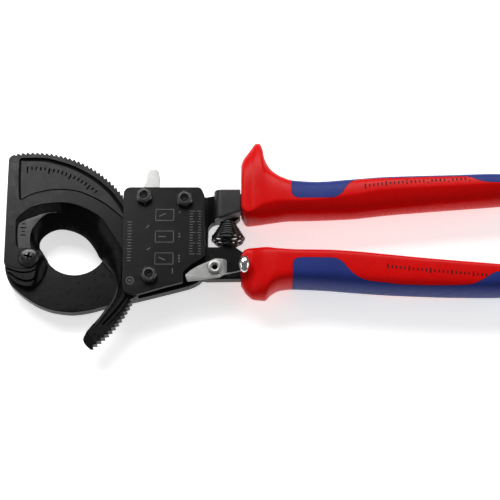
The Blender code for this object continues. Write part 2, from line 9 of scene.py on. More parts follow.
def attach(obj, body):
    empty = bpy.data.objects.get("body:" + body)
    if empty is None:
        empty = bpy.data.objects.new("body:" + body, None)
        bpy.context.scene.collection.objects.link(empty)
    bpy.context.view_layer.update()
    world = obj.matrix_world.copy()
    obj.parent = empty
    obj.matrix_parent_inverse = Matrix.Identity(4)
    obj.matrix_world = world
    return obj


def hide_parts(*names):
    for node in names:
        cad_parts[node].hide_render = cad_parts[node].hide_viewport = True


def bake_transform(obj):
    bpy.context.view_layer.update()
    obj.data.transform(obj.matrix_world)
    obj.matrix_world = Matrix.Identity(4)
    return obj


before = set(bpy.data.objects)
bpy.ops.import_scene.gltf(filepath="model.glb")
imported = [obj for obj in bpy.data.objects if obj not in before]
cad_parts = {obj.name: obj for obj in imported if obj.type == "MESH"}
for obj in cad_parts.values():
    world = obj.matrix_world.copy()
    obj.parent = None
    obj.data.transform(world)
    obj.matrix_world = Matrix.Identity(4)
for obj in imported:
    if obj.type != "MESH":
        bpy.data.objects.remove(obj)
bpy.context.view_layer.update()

# The drawing frame is in millimetres with the blade pivot at (0, 0), as in the CAD.
MM = 0.001
BASE = (112.95, 8.01)

FRAME_Z = (3.0, 9.0)
MID_Z = (9.3, 14.8)
COVER_Z = (15.1, 17.6)
TIP_R, TOOTH_DEPTH, PITCH = 54.2, 1.2, 2.5
FIRST_TOOTH, LAST_TOOTH = 101.0, -54.0
BOLT_A, BOLT_B, BOLT_C = (54.4, 29.7), (57.6, -9.9), (73.9, 28.1)
PAWL_PIN, RIVET = (60.7, 23.8), (88.5, -5.3)
SPRING_X, SPRING_Z, SPRING_Y = 94.7, 12.0, (6.3, 18.7)


def place(x, y, z):
    return Vector(((x - BASE[0]) * MM, (y - BASE[1]) * MM, z * MM))


# ------------------------------------------------------------------ materials


class Nodes:
    """A short way to write a node tree."""

    def __init__(self, name):
        self.material = bpy.data.materials.new(name)
        self.material.use_nodes = True
        self.tree = self.material.node_tree
        self.shader = self.tree.nodes["Principled BSDF"]
        self.coords = self.tree.nodes.new("ShaderNodeTexCoord").outputs["Object"]

    def link(self, source, target):
        self.tree.links.new(source, target)

    def set(self, **values):
        for name, value in values.items():
            self.shader.inputs[name.replace("_", " ")].default_value = value

    def stretched(self, scale):
        node = self.tree.nodes.new("ShaderNodeMapping")
        node.inputs["Scale"].default_value = scale
        self.link(self.coords, node.inputs["Vector"])
        return node.outputs["Vector"]

    def noise(self, scale, detail=4.0, rough=0.55, vector=None):
        node = self.tree.nodes.new("ShaderNodeTexNoise")
        node.inputs["Scale"].default_value = scale
        node.inputs["Detail"].default_value = detail
        node.inputs["Roughness"].default_value = rough
        self.link(vector or self.coords, node.inputs["Vector"])
        return node.outputs["Fac"]

    def cells(self, scale, vector=None):
        node = self.tree.nodes.new("ShaderNodeTexVoronoi")
        node.inputs["Scale"].default_value = scale
        self.link(vector or self.coords, node.inputs["Vector"])
        return node.outputs["Distance"]

    def span(self, value, low, high, out_low, out_high):
        node = self.tree.nodes.new("ShaderNodeMapRange")
        node.clamp = True
        for name, number in (("From Min", low), ("From Max", high), ("To Min", out_low), ("To Max", out_high)):
            node.inputs[name].default_value = number
        self.link(value, node.inputs["Value"])
        return node.outputs["Result"]

    def math(self, kind, a, b):
        node = self.tree.nodes.new("ShaderNodeMath")
        node.operation = kind
        for k, value in enumerate((a, b)):
            if isinstance(value, (int, float)):
                node.inputs[k].default_value = value
            else:
                self.link(value, node.inputs[k])
        return node.outputs[0]

    def mix(self, share, a, b):
        node = self.tree.nodes.new("ShaderNodeMix")
        node.data_type = "RGBA"
        self.link(share, node.inputs["Factor"])
        for name, value in (("A", a), ("B", b)):
            socket = [s for s in node.inputs if s.name == name and s.type == "RGBA"][0]
            if isinstance(value, tuple):
                socket.default_value = (*value, 1.0)
            else:
                self.link(value, socket)
        return [s for s in node.outputs if s.type == "RGBA"][0]

    def edges(self, radius):
        """1 along outer edges and corners, 0 on flat ground."""
        bevel = self.tree.nodes.new("ShaderNodeBevel")
        bevel.samples = 4
        bevel.inputs["Radius"].default_value = radius
        ground = self.tree.nodes.new("ShaderNodeNewGeometry")
        dot = self.tree.nodes.new("ShaderNodeVectorMath")
        dot.operation = "DOT_PRODUCT"
        self.link(bevel.outputs["Normal"], dot.inputs[0])
        self.link(ground.outputs["Normal"], dot.inputs[1])
        return self.span(dot.outputs["Value"], 0.995, 0.86, 0.0, 1.0)

    def bump(self, height, strength, distance):
        node = self.tree.nodes.new("ShaderNodeBump")
        node.inputs["Strength"].default_value = strength
        node.inputs["Distance"].default_value = distance
        self.link(height, node.inputs["Height"])
        self.link(node.outputs["Normal"], self.shader.inputs["Normal"])


def black_metal(name, dark, light, wear_and_highlight, roughness, grain=1.0, specular=0.5):
    n = Nodes(name)
    n.set(Metallic=0.0, Specular_IOR_Level=specular)
    cloud = n.span(n.noise(160.0, 5.0, 0.6), 0.3, 0.7, 0.0, 1.0)
    speckle = n.span(n.noise(2600.0, 3.0, 0.7), 0.35, 0.72, 0.0, 1.0)
    colour = n.mix(cloud, dark, light)
    colour = n.mix(n.math("MULTIPLY", speckle, 0.25), colour, tuple(c * 1.9 for c in light))
    scuff = n.span(n.noise(700.0, 4.0, 0.7), 0.42, 0.7, 0.35, 1.0)
    # Lighter edges: partly real wear, partly a painted highlight where bevels catch light.
    colour = n.mix(n.math("MULTIPLY", n.edges(0.00035), scuff), colour, wear_and_highlight)
    n.link(colour, n.shader.inputs["Base Color"])
    rough = n.span(n.noise(420.0, 4.0, 0.6), 0.3, 0.7, roughness - 0.06, roughness + 0.08)
    n.link(rough, n.shader.inputs["Roughness"])
    height = n.math("ADD", n.math("MULTIPLY", n.noise(3200.0, 2.0, 0.6), 1.0), n.math("MULTIPLY", n.noise(420.0, 3.0), 1.4))
    n.bump(height, 0.16 * grain, 0.00008)
    return n.material


def bright_metal(name, low, high, roughness, along, brushed=0.12, metallic=1.0):
    n = Nodes(name)
    n.set(Metallic=metallic)
    lines = n.noise(1.0, 3.0, 0.6, n.stretched(along))
    cloud = n.noise(220.0, 4.0)
    colour = n.mix(n.span(n.math("ADD", n.math("MULTIPLY", lines, 0.6), n.math("MULTIPLY", cloud, 0.4)), 0.35, 0.65, 0.0, 1.0), low, high)
    n.link(colour, n.shader.inputs["Base Color"])
    n.link(n.span(lines, 0.3, 0.7, roughness * 0.8, roughness * 1.3), n.shader.inputs["Roughness"])
    n.bump(lines, brushed, 0.00004)
    return n.material


def moulded(name, base, deep, roughness, grain, worn, specular=0.5):
    n = Nodes(name)
    n.set(Metallic=0.0, Specular_IOR_Level=specular)
    cloud = n.span(n.noise(55.0, 4.0, 0.6), 0.3, 0.7, 0.0, 1.0)
    colour = n.mix(cloud, base, deep)
    colour = n.mix(n.math("MULTIPLY", n.edges(0.0006), 0.35), colour, worn)
    n.link(colour, n.shader.inputs["Base Color"])
    n.link(n.span(n.noise(300.0, 4.0), 0.3, 0.7, roughness - 0.05, roughness + 0.07), n.shader.inputs["Roughness"])
    height = n.math("ADD", n.cells(1500.0), n.math("MULTIPLY", n.noise(4200.0, 2.0), 0.6))
    n.bump(height, grain, 0.00006)
    return n.material


BLACK = black_metal("black_steel", (0.0035, 0.0035, 0.0038), (0.0068, 0.0068, 0.0071), (0.035, 0.035, 0.036), 0.30, 0.35, 0.13)
PANEL = black_metal("black_steel_cast", (0.0045, 0.0045, 0.0048), (0.011, 0.011, 0.011), (0.025, 0.025, 0.025), 0.42, 2.6, 0.22)
# Cover: its lighter edges are a painted highlight on the bevels as well as wear.
COVER = black_metal("black_steel_cover", (0.0050, 0.0050, 0.0053), (0.0085, 0.0085, 0.0088), (0.09, 0.09, 0.092), 0.34, 1.1, 0.15)
# Near-black painted shade, used in slots, bores, holes, step walls, foot lines and gaps where shade falls.
RECESS_SHADE = black_metal("black_recess_painted_shade", (0.0008, 0.0008, 0.0009), (0.0016, 0.0016, 0.0016), (0.003, 0.003, 0.003), 0.6, 0.5, 0.06)
GRIND = black_metal("black_ground_steel", (0.0010, 0.0010, 0.0011), (0.002, 0.002, 0.002), (0.006, 0.006, 0.006), 0.24, 0.3, 0.08)
BLOCK = black_metal("black_steel_block", (0.0045, 0.0045, 0.0048), (0.008, 0.008, 0.0082), (0.05, 0.05, 0.052), 0.38, 1.0, 0.42)
# Nut collar black painted lighter as a highlight: the bright ring round the collar's top.
COLLAR_HIGHLIGHT = black_metal("black_nut_collar_painted_highlight", (0.022, 0.022, 0.023), (0.045, 0.045, 0.046), (0.3, 0.3, 0.3), 0.3, 0.5, 0.5)
BOLT = black_metal("black_bolt", (0.003, 0.003, 0.0033), (0.006, 0.006, 0.0062), (0.02, 0.02, 0.02), 0.4, 0.8, 0.1)
# Pocket floor black painted lighter as light falling on the floor.
LIT = black_metal("black_steel_pocket_painted_light", (0.009, 0.009, 0.0092), (0.032, 0.032, 0.032), (0.06, 0.06, 0.06), 0.42, 2.4, 0.35)
# Screw and nut steel: the light edges are partly wear, partly a painted highlight on chamfers and corners.
SCREW = black_metal("screw_steel", (0.0045, 0.0045, 0.005), (0.009, 0.009, 0.0095), (0.22, 0.22, 0.225), 0.26, 0.6, 0.5)
ETCH = black_metal("etched_mark", (0.055, 0.055, 0.056), (0.12, 0.12, 0.12), (0.14, 0.14, 0.14), 0.55, 1.0, 0.2)
SPRING = black_metal("spring_steel", (0.004, 0.004, 0.0045), (0.009, 0.009, 0.0095), (0.03, 0.03, 0.03), 0.22, 0.5, 0.45)
GROUND = bright_metal("ground_steel", (0.25, 0.25, 0.26), (0.36, 0.36, 0.37), 0.3, (900.0, 900.0, 7000.0))
SILVER = bright_metal("bright_steel", (0.33, 0.33, 0.325), (0.42, 0.42, 0.41), 0.36, (300.0, 5200.0, 300.0), 0.03)
POLISHED = bright_metal("polished_steel", (0.66, 0.66, 0.66), (0.76, 0.76, 0.75), 0.15, (250.0, 250.0, 250.0), 0.04)
RED = moulded("red_plastic", (0.66, 0.0035, 0.0035), (0.60, 0.0025, 0.0025), 0.30, 0.06, (0.70, 0.02, 0.015), 0.09)
BLUE = moulded("blue_plastic", (0.021, 0.036, 0.205), (0.016, 0.030, 0.17), 0.42, 0.24, (0.05, 0.055, 0.24), 0.12)
DARK_RED = moulded("red_print", (0.085, 0.004, 0.004), (0.065, 0.003, 0.003), 0.5, 0.1, (0.1, 0.01, 0.01), 0.1)

# ------------------------------------------------------------------ mesh helpers


def shown(name, mesh):
    obj = bpy.data.objects.new(name, mesh)
    bpy.context.scene.collection.objects.link(obj)
    return obj


def settle(source, name):
    """The evaluated mesh of an object as a new plain mesh object; the source is removed."""
    bpy.context.view_layer.update()
    graph = bpy.context.evaluated_depsgraph_get()
    mesh = bpy.data.meshes.new_from_object(source.evaluated_get(graph))
    cage = bmesh.new()
    cage.from_mesh(mesh)
    bmesh.ops.remove_doubles(cage, verts=cage.verts, dist=2e-7)
    cage.transform(source.matrix_world)
    bmesh.ops.recalc_face_normals(cage, faces=cage.faces)
    cage.to_mesh(mesh)
    cage.free()
    bpy.data.objects.remove(source, do_unlink=True)
    mesh.name = name
    return shown(name, mesh)


def plate(name, outline, z, holes=(), bevel=0.0, look=None, steps=2):
    """A flat outline with holes, as thick as z says, its edges rounded by bevel."""
    curve = bpy.data.curves.new(name + "_outline", "CURVE")
    curve.dimensions = "2D"
    curve.fill_mode = "BOTH"
    curve.extrude = ((z[1] - z[0]) / 2 - bevel) * MM
    if bevel:
        curve.bevel_depth = bevel * MM
        curve.bevel_resolution = steps
        curve.offset = -bevel * MM
    for loop in (outline, *holes):
        spline = curve.splines.new("POLY")
        spline.points.add(len(loop) - 1)
        for point, (x, y) in zip(spline.points, loop):
            point.co = ((x - BASE[0]) * MM, (y - BASE[1]) * MM, 0.0, 1.0)
        spline.use_cyclic_u = True
    guide = bpy.data.objects.new(name + "_guide", curve)
    guide.location.z = (z[0] + z[1]) / 2 * MM
    bpy.context.scene.collection.objects.link(guide)
    made = settle(guide, name)
    if look:
        dress(made, look)
    return made


def dress(obj, *looks):
    obj.data.materials.clear()
    for look in looks:
        obj.data.materials.append(look)
    return obj


def loft(name, rings, look=None, caps=True, closed=False):
    """Quads between rings of (x, y, z) in the drawing frame, all with the same count."""
    cage = bmesh.new()
    rows = [[cage.verts.new(place(*p)) for p in ring] for ring in rings]
    count = len(rows[0])
    pairs = list(zip(rows, rows[1:]))
    if closed:
        pairs.append((rows[-1], rows[0]))
    for one, two in pairs:
        for k in range(count):
            j = (k + 1) % count
            cage.faces.new((one[k], one[j], two[j], two[k]))
    if caps and not closed:
        cage.faces.new(rows[0][::-1])
        cage.faces.new(rows[-1])
    bmesh.ops.recalc_face_normals(cage, faces=cage.faces)
    mesh = bpy.data.meshes.new(name)
    cage.to_mesh(mesh)
    cage.free()
    made = shown(name, mesh)
    if look:
        dress(made, look)
    return made


def turned(name, centre, profile, steps=48, look=None, looks=None):
    """A solid of revolution about a vertical axis; profile is (radius, z) from top to bottom."""
    cage = bmesh.new()
    rows = []
    for radius, z in profile:
        if radius <= 0:
            rows.append([cage.verts.new(place(centre[0], centre[1], z))])
            continue
        rows.append(
            [
                cage.verts.new(
                    place(
                        centre[0] + radius * math.cos(2 * math.pi * k / steps),
                        centre[1] + radius * math.sin(2 * math.pi * k / steps),
                        z,
                    )
                )
                for k in range(steps)
            ]
        )
    pairs = list(zip(rows, rows[1:]))
    if profile[0][0] > 0:
        pairs.append((rows[-1], rows[0]))
    for one, two in pairs:
        for k in range(steps):
            j = (k + 1) % steps
            if len(one) == 1 and len(two) == 1:
                continue
            if len(one) == 1:
                cage.faces.new((one[0], two[j], two[k]))
            elif len(two) == 1:
                cage.faces.new((one[k], one[j], two[0]))
            else:
                cage.faces.new((one[k], one[j], two[j], two[k]))
    bmesh.ops.recalc_face_normals(cage, faces=cage.faces)
    mesh = bpy.data.meshes.new(name)
    cage.to_mesh(mesh)
    cage.free()
    made = shown(name, mesh)
    if look:
        dress(made, look)
    return made


def apply_all(obj):
    bpy.context.view_layer.update()
    graph = bpy.context.evaluated_depsgraph_get()
    mesh = bpy.data.meshes.new_from_object(obj.evaluated_get(graph))
    obj.modifiers.clear()
    obj.data = mesh
    return obj


def boolean(obj, other, operation="DIFFERENCE"):
    step = obj.modifiers.new("join", "BOOLEAN")
    step.operation = operation
    step.solver = "EXACT"
    step.material_mode = "TRANSFER"
    step.object = other
    apply_all(obj)
    bpy.data.objects.remove(other, do_unlink=True)
    return obj


def circle(centre, radius, count=48, start=0.0):
    return [
        (
            centre[0] + radius * math.cos(start + 2 * math.pi * k / count),
            centre[1] + radius * math.sin(start + 2 * math.pi * k / count),
        )
        for k in range(count)
    ]


def arc(centre, radius, first, last, count):
    return [
        (
            centre[0] + radius * math.cos(math.radians(first + (last - first) * k / count)),
            centre[1] + radius * math.sin(math.radians(first + (last - first) * k / count)),
        )
        for k in range(count + 1)
    ]


def polar(radius, degrees):
    return (radius * math.cos(math.radians(degrees)), radius * math.sin(math.radians(degrees)))


def smooth(points, steps=5):
    """A Catmull-Rom curve through points of any dimension."""
    size = len(points[0])
    ends = [points[0], *points, points[-1]]
    found = []
    for a, b, c, d in zip(ends, ends[1:], ends[2:], ends[3:]):
        for k in range(steps):
            t = k / steps
            found.append(
                tuple(
                    0.5
                    * (
                        2 * b[i]
                        + (c[i] - a[i]) * t
                        + (2 * a[i] - 5 * b[i] + 4 * c[i] - d[i]) * t * t
                        + (3 * b[i] - a[i] - 3 * c[i] + d[i]) * t**3
                    )
                    for i in range(size)
                )
            )
    return [*found, tuple(points[-1])]


def rounded(corners, steps=8):
    found = []
    count = len(corners)
    for k, (x, y, radius) in enumerate(corners):
        here = Vector((x, y))
        back = Vector(corners[k - 1][:2]) - here
        ahead = Vector(corners[(k + 1) % count][:2]) - here
        if radius <= 0:
            found.append((x, y))
            continue
        half = back.angle(ahead) / 2
        reach = radius / math.tan(half)
        middle = here + (back.normalized() + ahead.normalized()).normalized() * (radius / math.sin(half))
        first = here + back.normalized() * reach - middle
        last = here + ahead.normalized() * reach - middle
        turn = first.angle_signed(last)
        for s in range(steps + 1):
            spoke = first.copy()
            spoke.rotate(Matrix.Rotation(-turn * s / steps, 2))
            found.append(tuple(middle + spoke))
    return found


def moved_out(points, by):
    """The closed outline moved outwards; by is one distance or one for each point."""
    area = sum(a[0] * b[1] - b[0] * a[1] for a, b in zip(points, [*points[1:], points[0]]))
    side = 1.0 if area > 0 else -1.0
    found = []
    for k, here in enumerate(points):
        before, after = Vector(points[k - 1]), Vector(points[(k + 1) % len(points)])
        here = Vector(here)
        one, two = (here - before).normalized(), (after - here).normalized()
        normal = Vector((one.y + two.y, -one.x - two.x)).normalized() * side
        scale = max(0.5, abs(normal.dot(Vector((one.y, -one.x)))))
        step = by[k] if isinstance(by, (list, tuple)) else by
        found.append(tuple(here + normal * step / scale))
    return found


def wedge(name, outline, floor, look, top=20.0):
    """A prism over an outline whose floor is a height function of (x, y)."""
    return loft(
        name,
        [[(x, y, floor(x, y)) for x, y in outline], [(x, y, top) for x, y in outline]],
        look,
    )


def boxes(name, bars, z, look):
    """Many small upright bars (x, y, length, width, angle) as one mesh of separate solids."""
    cage = bmesh.new()
    for x, y, length, width, degrees in bars:
        spin = Matrix.Rotation(math.radians(degrees), 4, "Z")
        made = bmesh.ops.create_cube(cage, size=1.0)["verts"]
        size = Matrix.Diagonal((length * MM, width * MM, (z[1] - z[0]) * MM, 1.0))
        centre = place(x, y, (z[0] + z[1]) / 2)
        bmesh.ops.transform(cage, matrix=Matrix.Translation(centre) @ spin @ size, verts=made)
    mesh = bpy.data.meshes.new(name)
    cage.to_mesh(mesh)
    cage.free()
    return dress(shown(name, mesh), look)


def done(obj, body, slot, *nodes, angle=32.0, weighted=False):
    """Last step for a piece: shading, the body it rides on and the nodes it stands for."""
    obj.data.shade_smooth()
    obj.data.set_sharp_from_angle(angle=math.radians(angle))
    if weighted:
        step = obj.modifiers.new("normals", "WEIGHTED_NORMAL")
        step.keep_sharp = True
        step.weight = 90
        apply_all(obj)
    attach(obj, body)
    if nodes:
        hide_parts(*nodes)
    return obj


# ------------------------------------------------------------------ moving blade

toothed = []
crest = FIRST_TOOTH - PITCH
while crest >= LAST_TOOTH - 1e-6:
    toothed.append(polar(TIP_R - TOOTH_DEPTH, crest + 0.6))
    toothed.append(polar(TIP_R, crest + 0.06))
    toothed.append(polar(TIP_R, crest - 0.06))
    crest -= PITCH
tail = smooth(
    [polar(TIP_R, LAST_TOOTH), (30.6, -43.9), (28.8, -42.5), (27.2, -40.4), (27.0, -38.9),
     (27.9, -37.6), (33.9, -29.9), (37.1, -25.0), (39.8, -21.1), (41.4, -17.1), (41.9, -13.2),
     (41.3, -10.2), (39.6, -6.4), (35.4, -1.2)],
    6,
)
mouth_edge = smooth(
    [(35.4, -1.2), (33.0, 1.8), (31.5, 4.6), (29.6, 7.6), (27.0, 10.8), (23.5, 13.4), (19.2, 15.2),
     (14.4, 16.0), (10.2, 15.1), (6.8, 12.9), (4.7, 10.2), (4.25, 7.4), (5.2, 4.0), (8.2, -0.9)],
    6,
)
hub_edge = smooth(
    [(8.2, -0.9), (8.0, -3.4), (6.8, -7.4), (4.7, -10.9), (2.0, -12.9), (-0.9, -13.3), (-4.8, -12.1),
     (-8.2, -9.3), (-10.3, -5.8), (-11.7, -2.2)],
    6,
)
blade = plate(
    "moving_blade_fine",
    [*toothed, *tail[1:], *mouth_edge[1:], *hub_edge[1:], (-12.1, 49.4), (-12.0, 50.6), (-11.4, 51.8),
     (-10.4, 52.5), polar(53.7, 100.2)],
    MID_Z,
    holes=[circle((0, 0), 4.5)],
    look=BLACK,
)

# Cast panel with a groove round it painted near-black as shade: wide along the toothed side, narrow below.
panel_upper = smooth(
    [(-5.2, 51.3), (5.5, 51.2), (12.8, 49.4), (17.7, 47.8), (22.7, 45.6), (27.6, 42.8),
     (32.6, 39.2), (37.6, 34.7), (41.6, 29.8), (44.6, 25.2), (46.6, 21.4)],
    4,
)
panel_lower = smooth(
    [(46.4, 19.2), (44.6, 19.2), (40.3, 22.9), (35.4, 26.8), (30.5, 29.8),
     (25.6, 32.1), (20.7, 33.7), (13.4, 34.4), (7.2, 33.8), (0.5, 32.0), (-2.6, 30.4),
     (-4.6, 29.3), (-5.9, 29.8), (-6.3, 31.2)],
    4,
)
panel = [*panel_upper, *panel_lower, (-6.9, 40.0), (-7.0, 49.6), (-6.6, 50.8)]
narrow = []
for k, (x, y) in enumerate(panel):
    narrow.append(-1.9 if k < len(panel_upper) else (-1.15 if x < -5.4 else -0.8))
inner_panel = moved_out(panel, narrow)
groove = plate("panel_groove", panel, (13.7, 16.0), [inner_panel], look=RECESS_SHADE)
floor_cut = plate("panel_floor", moved_out(inner_panel, 0.06), (14.5, 16.0), look=PANEL)
boolean(blade, floor_cut)
boolean(blade, groove)

# Pocket and hollow grind: from the outer edge of the grind to the cutting edge.
grind_pairs = [
    (-5.4, 5.1, 5.5, 3.4), (-6.3, 6.4, 4.8, 5.0), (-6.8, 10.6, 4.25, 7.4), (-7.0, 15.5, 4.5, 9.7),
    (-6.8, 19.8, 5.7, 11.8), (-2.5, 24.1, 7.8, 13.7), (1.8, 26.4, 10.2, 15.1), (7.5, 27.7, 13.2, 15.95),
    (13.7, 28.2, 16.6, 15.8), (18.5, 27.8, 19.6, 15.15), (22.6, 26.7, 22.2, 14.15),
    (26.8, 24.9, 24.6, 12.75), (30.8, 22.6, 26.6, 11.2), (34.2, 20.0, 28.4, 9.3), (36.4, 17.0, 29.8, 7.3),
    (38.7, 13.6, 31.2, 5.0), (41.2, 9.8, 32.6, 2.4), (43.6, 6.0, 33.9, 0.5), (45.2, 1.6, 35.6, -1.5),
    (46.0, -3.2, 38.2, -4.6), (46.2, -8.2, 40.4, -8.4), (45.8, -13.0, 41.9, -13.2),
    (44.7, -17.8, 41.4, -17.1), (42.6, -22.4, 39.8, -21.1), (39.6, -26.8, 37.1, -25.0),
    (35.8, -31.4, 33.9, -29.9), (32.6, -34.9, 32.3, -34.0),
]
grind_line = smooth(grind_pairs, 4)
rings = []
def ease(t):
    t = max(0.0, min(1.0, t))
    return t * t * (3 - 2 * t)


def cut_shares(along):
    """Where the wall, its foot line, the pocket floor and the hollow begin and end."""
    wall = 0.05 + 0.27 * ease((along - 3.0) / 2.6)
    foot = wall + 0.03
    floor_end = max(foot + 0.03, 0.62 - 0.30 * ease((along - 3.6) / 4.4))
    found = [0.0, 0.02, wall * 0.5, wall, wall + 0.012, foot]
    found += [foot + (floor_end - foot) * t for t in (0.33, 0.66, 1.0)]
    found += [floor_end + (1.0 - floor_end) * t for t in (0.16, 0.32, 0.5, 0.68, 0.84, 1.0)]
    return found, wall, foot, floor_end


for k, (ox, oy, ix, iy) in enumerate(grind_line):
    along = k / (len(grind_line) - 1) * 26
    land = ease((8.8 - along) / 2.6)
    fade = max(0.0, min(1.0, (along - 17.0) / 9.0))
    edge_z = 9.75 + 4.5 * fade
    out = Vector((ox - ix, oy - iy))
    out.normalize()
    ring = [(ox + out.x * 0.12, oy + out.y * 0.12, 17.0)]
    shares, wall, foot, floor_end = cut_shares(along)
    for s in shares:
        z_hollow = 14.82 - (14.82 - edge_z) * (1 - (1 - s) ** 1.9)
        if s <= wall:
            z_land = 14.55 - 0.75 * (s / wall) if s > 0 else 14.82
        elif s <= foot:
            z_land = 13.55
        elif s <= floor_end:
            z_land = 13.78
        else:
            z_land = 13.78 - (13.78 - edge_z) * (1 - (1 - (s - floor_end) / (1 - floor_end)) ** 1.7)
        z = z_land * land + z_hollow * (1 - land)
        ring.append((ox + (ix - ox) * s, oy + (iy - oy) * s, z))
    ring.append((ix - out.x * 1.2, iy - out.y * 1.2, edge_z - 0.02))
    ring.append((ix - out.x * 1.2, iy - out.y * 1.2, 17.0))
    rings.append(ring)
grind = loft("grind_cut", rings)
dress(grind, GRIND, BLACK, RECESS_SHADE, LIT)
count = len(rings[0])
# Grind faces: the wall's top edge strip and its foot line get the near-black painted shade; the pocket floor gets the
# lighter painted light.
for face in grind.data.polygons:
    if len(face.vertices) == 4 and face.index < (len(rings) - 1) * count:
        row, col = divmod(face.index, count)
        along = row / (len(rings) - 1) * 26
        if along < 8.0:
            if col in (0, 1, 4, 5):
                face.material_index = 2
            elif col in (2, 3):
                face.material_index = 1
            elif col in (6, 7, 8) and along < 7.4:
                face.material_index = 3
boolean(blade, grind)

def along_line(line, half):
    """A slot outline round a line, with a round far end."""
    points = smooth(line, 4)
    left, right = [], []
    for k, here in enumerate(points):
        a = Vector(points[max(0, k - 1)])
        b = Vector(points[min(len(points) - 1, k + 1)])
        n = Vector((-(b - a).y, (b - a).x)).normalized()
        h = Vector(here)
        left.append(tuple(h + n * half))
        right.append(tuple(h - n * half))
    end = Vector(points[-1])
    d = (end - Vector(points[-2])).normalized()
    start = math.degrees(math.atan2(d.y, d.x))
    return [*left, *arc(tuple(end), half, start + 90.0, start - 90.0, 8)[1:-1], *right[::-1]]


# Terraces below the pivot screw: two steps down, their walls and a narrow groove at each foot painted near-black as
# shade.
for level_z, line in (
    (14.05, [(-14.0, -3.6), (-10.1, -4.9), (-6.4, -6.3), (-2.3, -7.0), (1.2, -6.5), (3.9, -5.4), (12.0, -1.6)]),
    (12.9, [(-14.0, -4.4), (-9.0, -6.8), (-5.6, -9.4), (-1.9, -10.7), (0.6, -10.7), (2.4, -10.1), (12.0, -4.2)]),
):
    region = [*smooth(line, 4), (12.0, -22.0), (-16.0, -22.0)]
    cutter = plate("terrace", region, (level_z, 17.0), look=BLACK)
    cutter.data.materials.append(RECESS_SHADE)
    for face in cutter.data.polygons:
        if abs(face.normal.z) < 0.3:
            face.material_index = 1
    boolean(blade, cutter)
    foot_line = [(x, y - 0.28) for x, y in line]
    boolean(blade, plate("terrace_foot", along_line(foot_line, 0.34), (level_z - 0.45, 17.0), look=RECESS_SHADE))
boolean(blade, plate("terrace_top", along_line([(-9.8, -3.9), (-5.8, -4.9), (-2.0, -5.5), (1.6, -5.2), (4.2, -4.2)], 0.16), (14.3, 17.0), look=RECESS_SHADE))

# The hub's steep black side next to the mouth.
side_rings = []
for lx, ly, ox, oy in smooth(
    [(5.4, 3.3, 7.6, 3.3), (4.9, 0.0, 8.8, -0.6), (3.7, -4.1, 8.4, -4.4), (3.0, -7.0, 7.2, -7.8),
     (2.3, -10.1, 5.0, -11.6), (1.4, -12.4, 2.6, -13.8)], 4
):
    out = Vector((ox - lx, oy - ly)).normalized() * 1.6
    side_rings.append([
        (lx - out.x * 0.1, ly - out.y * 0.1, 17.0), (lx, ly, 14.5), (lx * 0.8 + ox * 0.2, ly * 0.8 + oy * 0.2, 13.2),
        (lx * 0.5 + ox * 0.5, ly * 0.5 + oy * 0.5, 11.8), (ox, oy, 10.4), (ox + out.x, oy + out.y, 10.2),
        (ox + out.x, oy + out.y, 17.0),
    ])
boolean(blade, loft("hub_side", side_rings, GRIND))

# Fine seat line round the pivot screw, painted near-black as shade.
seat = turned("screw_seat", (0, 0), [(5.15, 17.0), (5.15, 14.2), (4.4, 14.2), (4.4, 17.0)], 64, RECESS_SHADE)
boolean(blade, seat)

# Tail: a slot with a round end, a thin line outside it, and the steep end facet, all painted near-black as shade.
slot_line = [(49.6, -11.0), (47.9, -17.0), (45.6, -21.4), (42.6, -25.6), (39.3, -29.7), (36.5, -32.8)]
boolean(blade, plate("tail_slot", along_line(slot_line, 0.6), (13.9, 16.0), look=RECESS_SHADE))
outer_line = [(51.0, -12.0), (49.6, -17.6), (47.5, -22.0), (44.8, -26.2), (41.6, -30.2), (38.6, -33.6)]
boolean(blade, plate("tail_line", along_line(outer_line, 0.28), (14.2, 16.0), look=RECESS_SHADE))
facet = [(28.6, -36.0), (34.2, -43.2), (33.0, -48.0), (22.0, -48.0), (22.0, -36.0)]
def facet_floor(x, y):
    d = (x - 28.6) * 0.789 - (y + 36.0) * -0.614
    n = Vector((-0.789, -0.614))
    out = (x - 28.6) * n.x + (y + 36.0) * n.y
    return 14.8 - 1.15 * max(out, -0.2)
boolean(blade, wedge("tail_facet", facet, facet_floor, RECESS_SHADE))

# Neutral scale ticks cut in the panel and the pocket, painted near-black as shade in the cuts.
ticks = []
for k in range(18):
    degrees = 93.5 - k * 2.7
    length = 3.0 if k % 5 == 0 else 1.8
    x, y = polar(46.6 - length / 2, degrees)
    ticks.append((x, y, length, 0.75, degrees))
for k in range(4):
    ticks.append((-3.4, 17.4 - 1.9 * k, 2.6 if k % 2 else 1.7, 0.62, 0.0))
boolean(blade, boxes("panel_ticks", ticks, (13.4, 16.0), RECESS_SHADE))
done(blade, "blade", "black_steel", "moving_blade", angle=28.0)

bush = turned("pivot_bush_fine", (0, 0), [(4.2, 14.2), (4.2, 9.5), (4.0, 9.3), (3.1, 9.3), (3.1, 14.2)], 64, GROUND)
done(bush, "blade", "ground_steel", "blade_pivot_bush")

head = turned(
    "pivot_screw_fine",
    (0, 0),
    [(0.0, 16.95), (1.4, 16.92), (2.6, 16.78), (3.5, 16.55), (4.2, 16.22), (4.6, 15.9), (4.75, 15.6),
     (4.75, 15.2), (4.6, 15.1), (2.8, 15.1), (2.8, 1.6), (2.6, 1.0), (0.0, 1.0)],
    64,
    SCREW,
)
# Cross recess painted near-black as shade.
for turn in (-14.0, 76.0):
    c, s = math.cos(math.radians(turn)), math.sin(math.radians(turn))
    top, low = [], []
    for u, v in ((-1, -1), (1, -1), (1, 1), (-1, 1)):
        top.append((u * 2.75 * c - v * 0.62 * s, u * 2.75 * s + v * 0.62 * c, 18.0))
        low.append((u * 1.5 * c - v * 0.42 * s, u * 1.5 * s + v * 0.42 * c, 15.7))
    boolean(head, loft("cross", [low, top], RECESS_SHADE))
done(head, "frame", "screw_steel", "blade_pivot_screw")

# ------------------------------------------------------------------ fixed frame

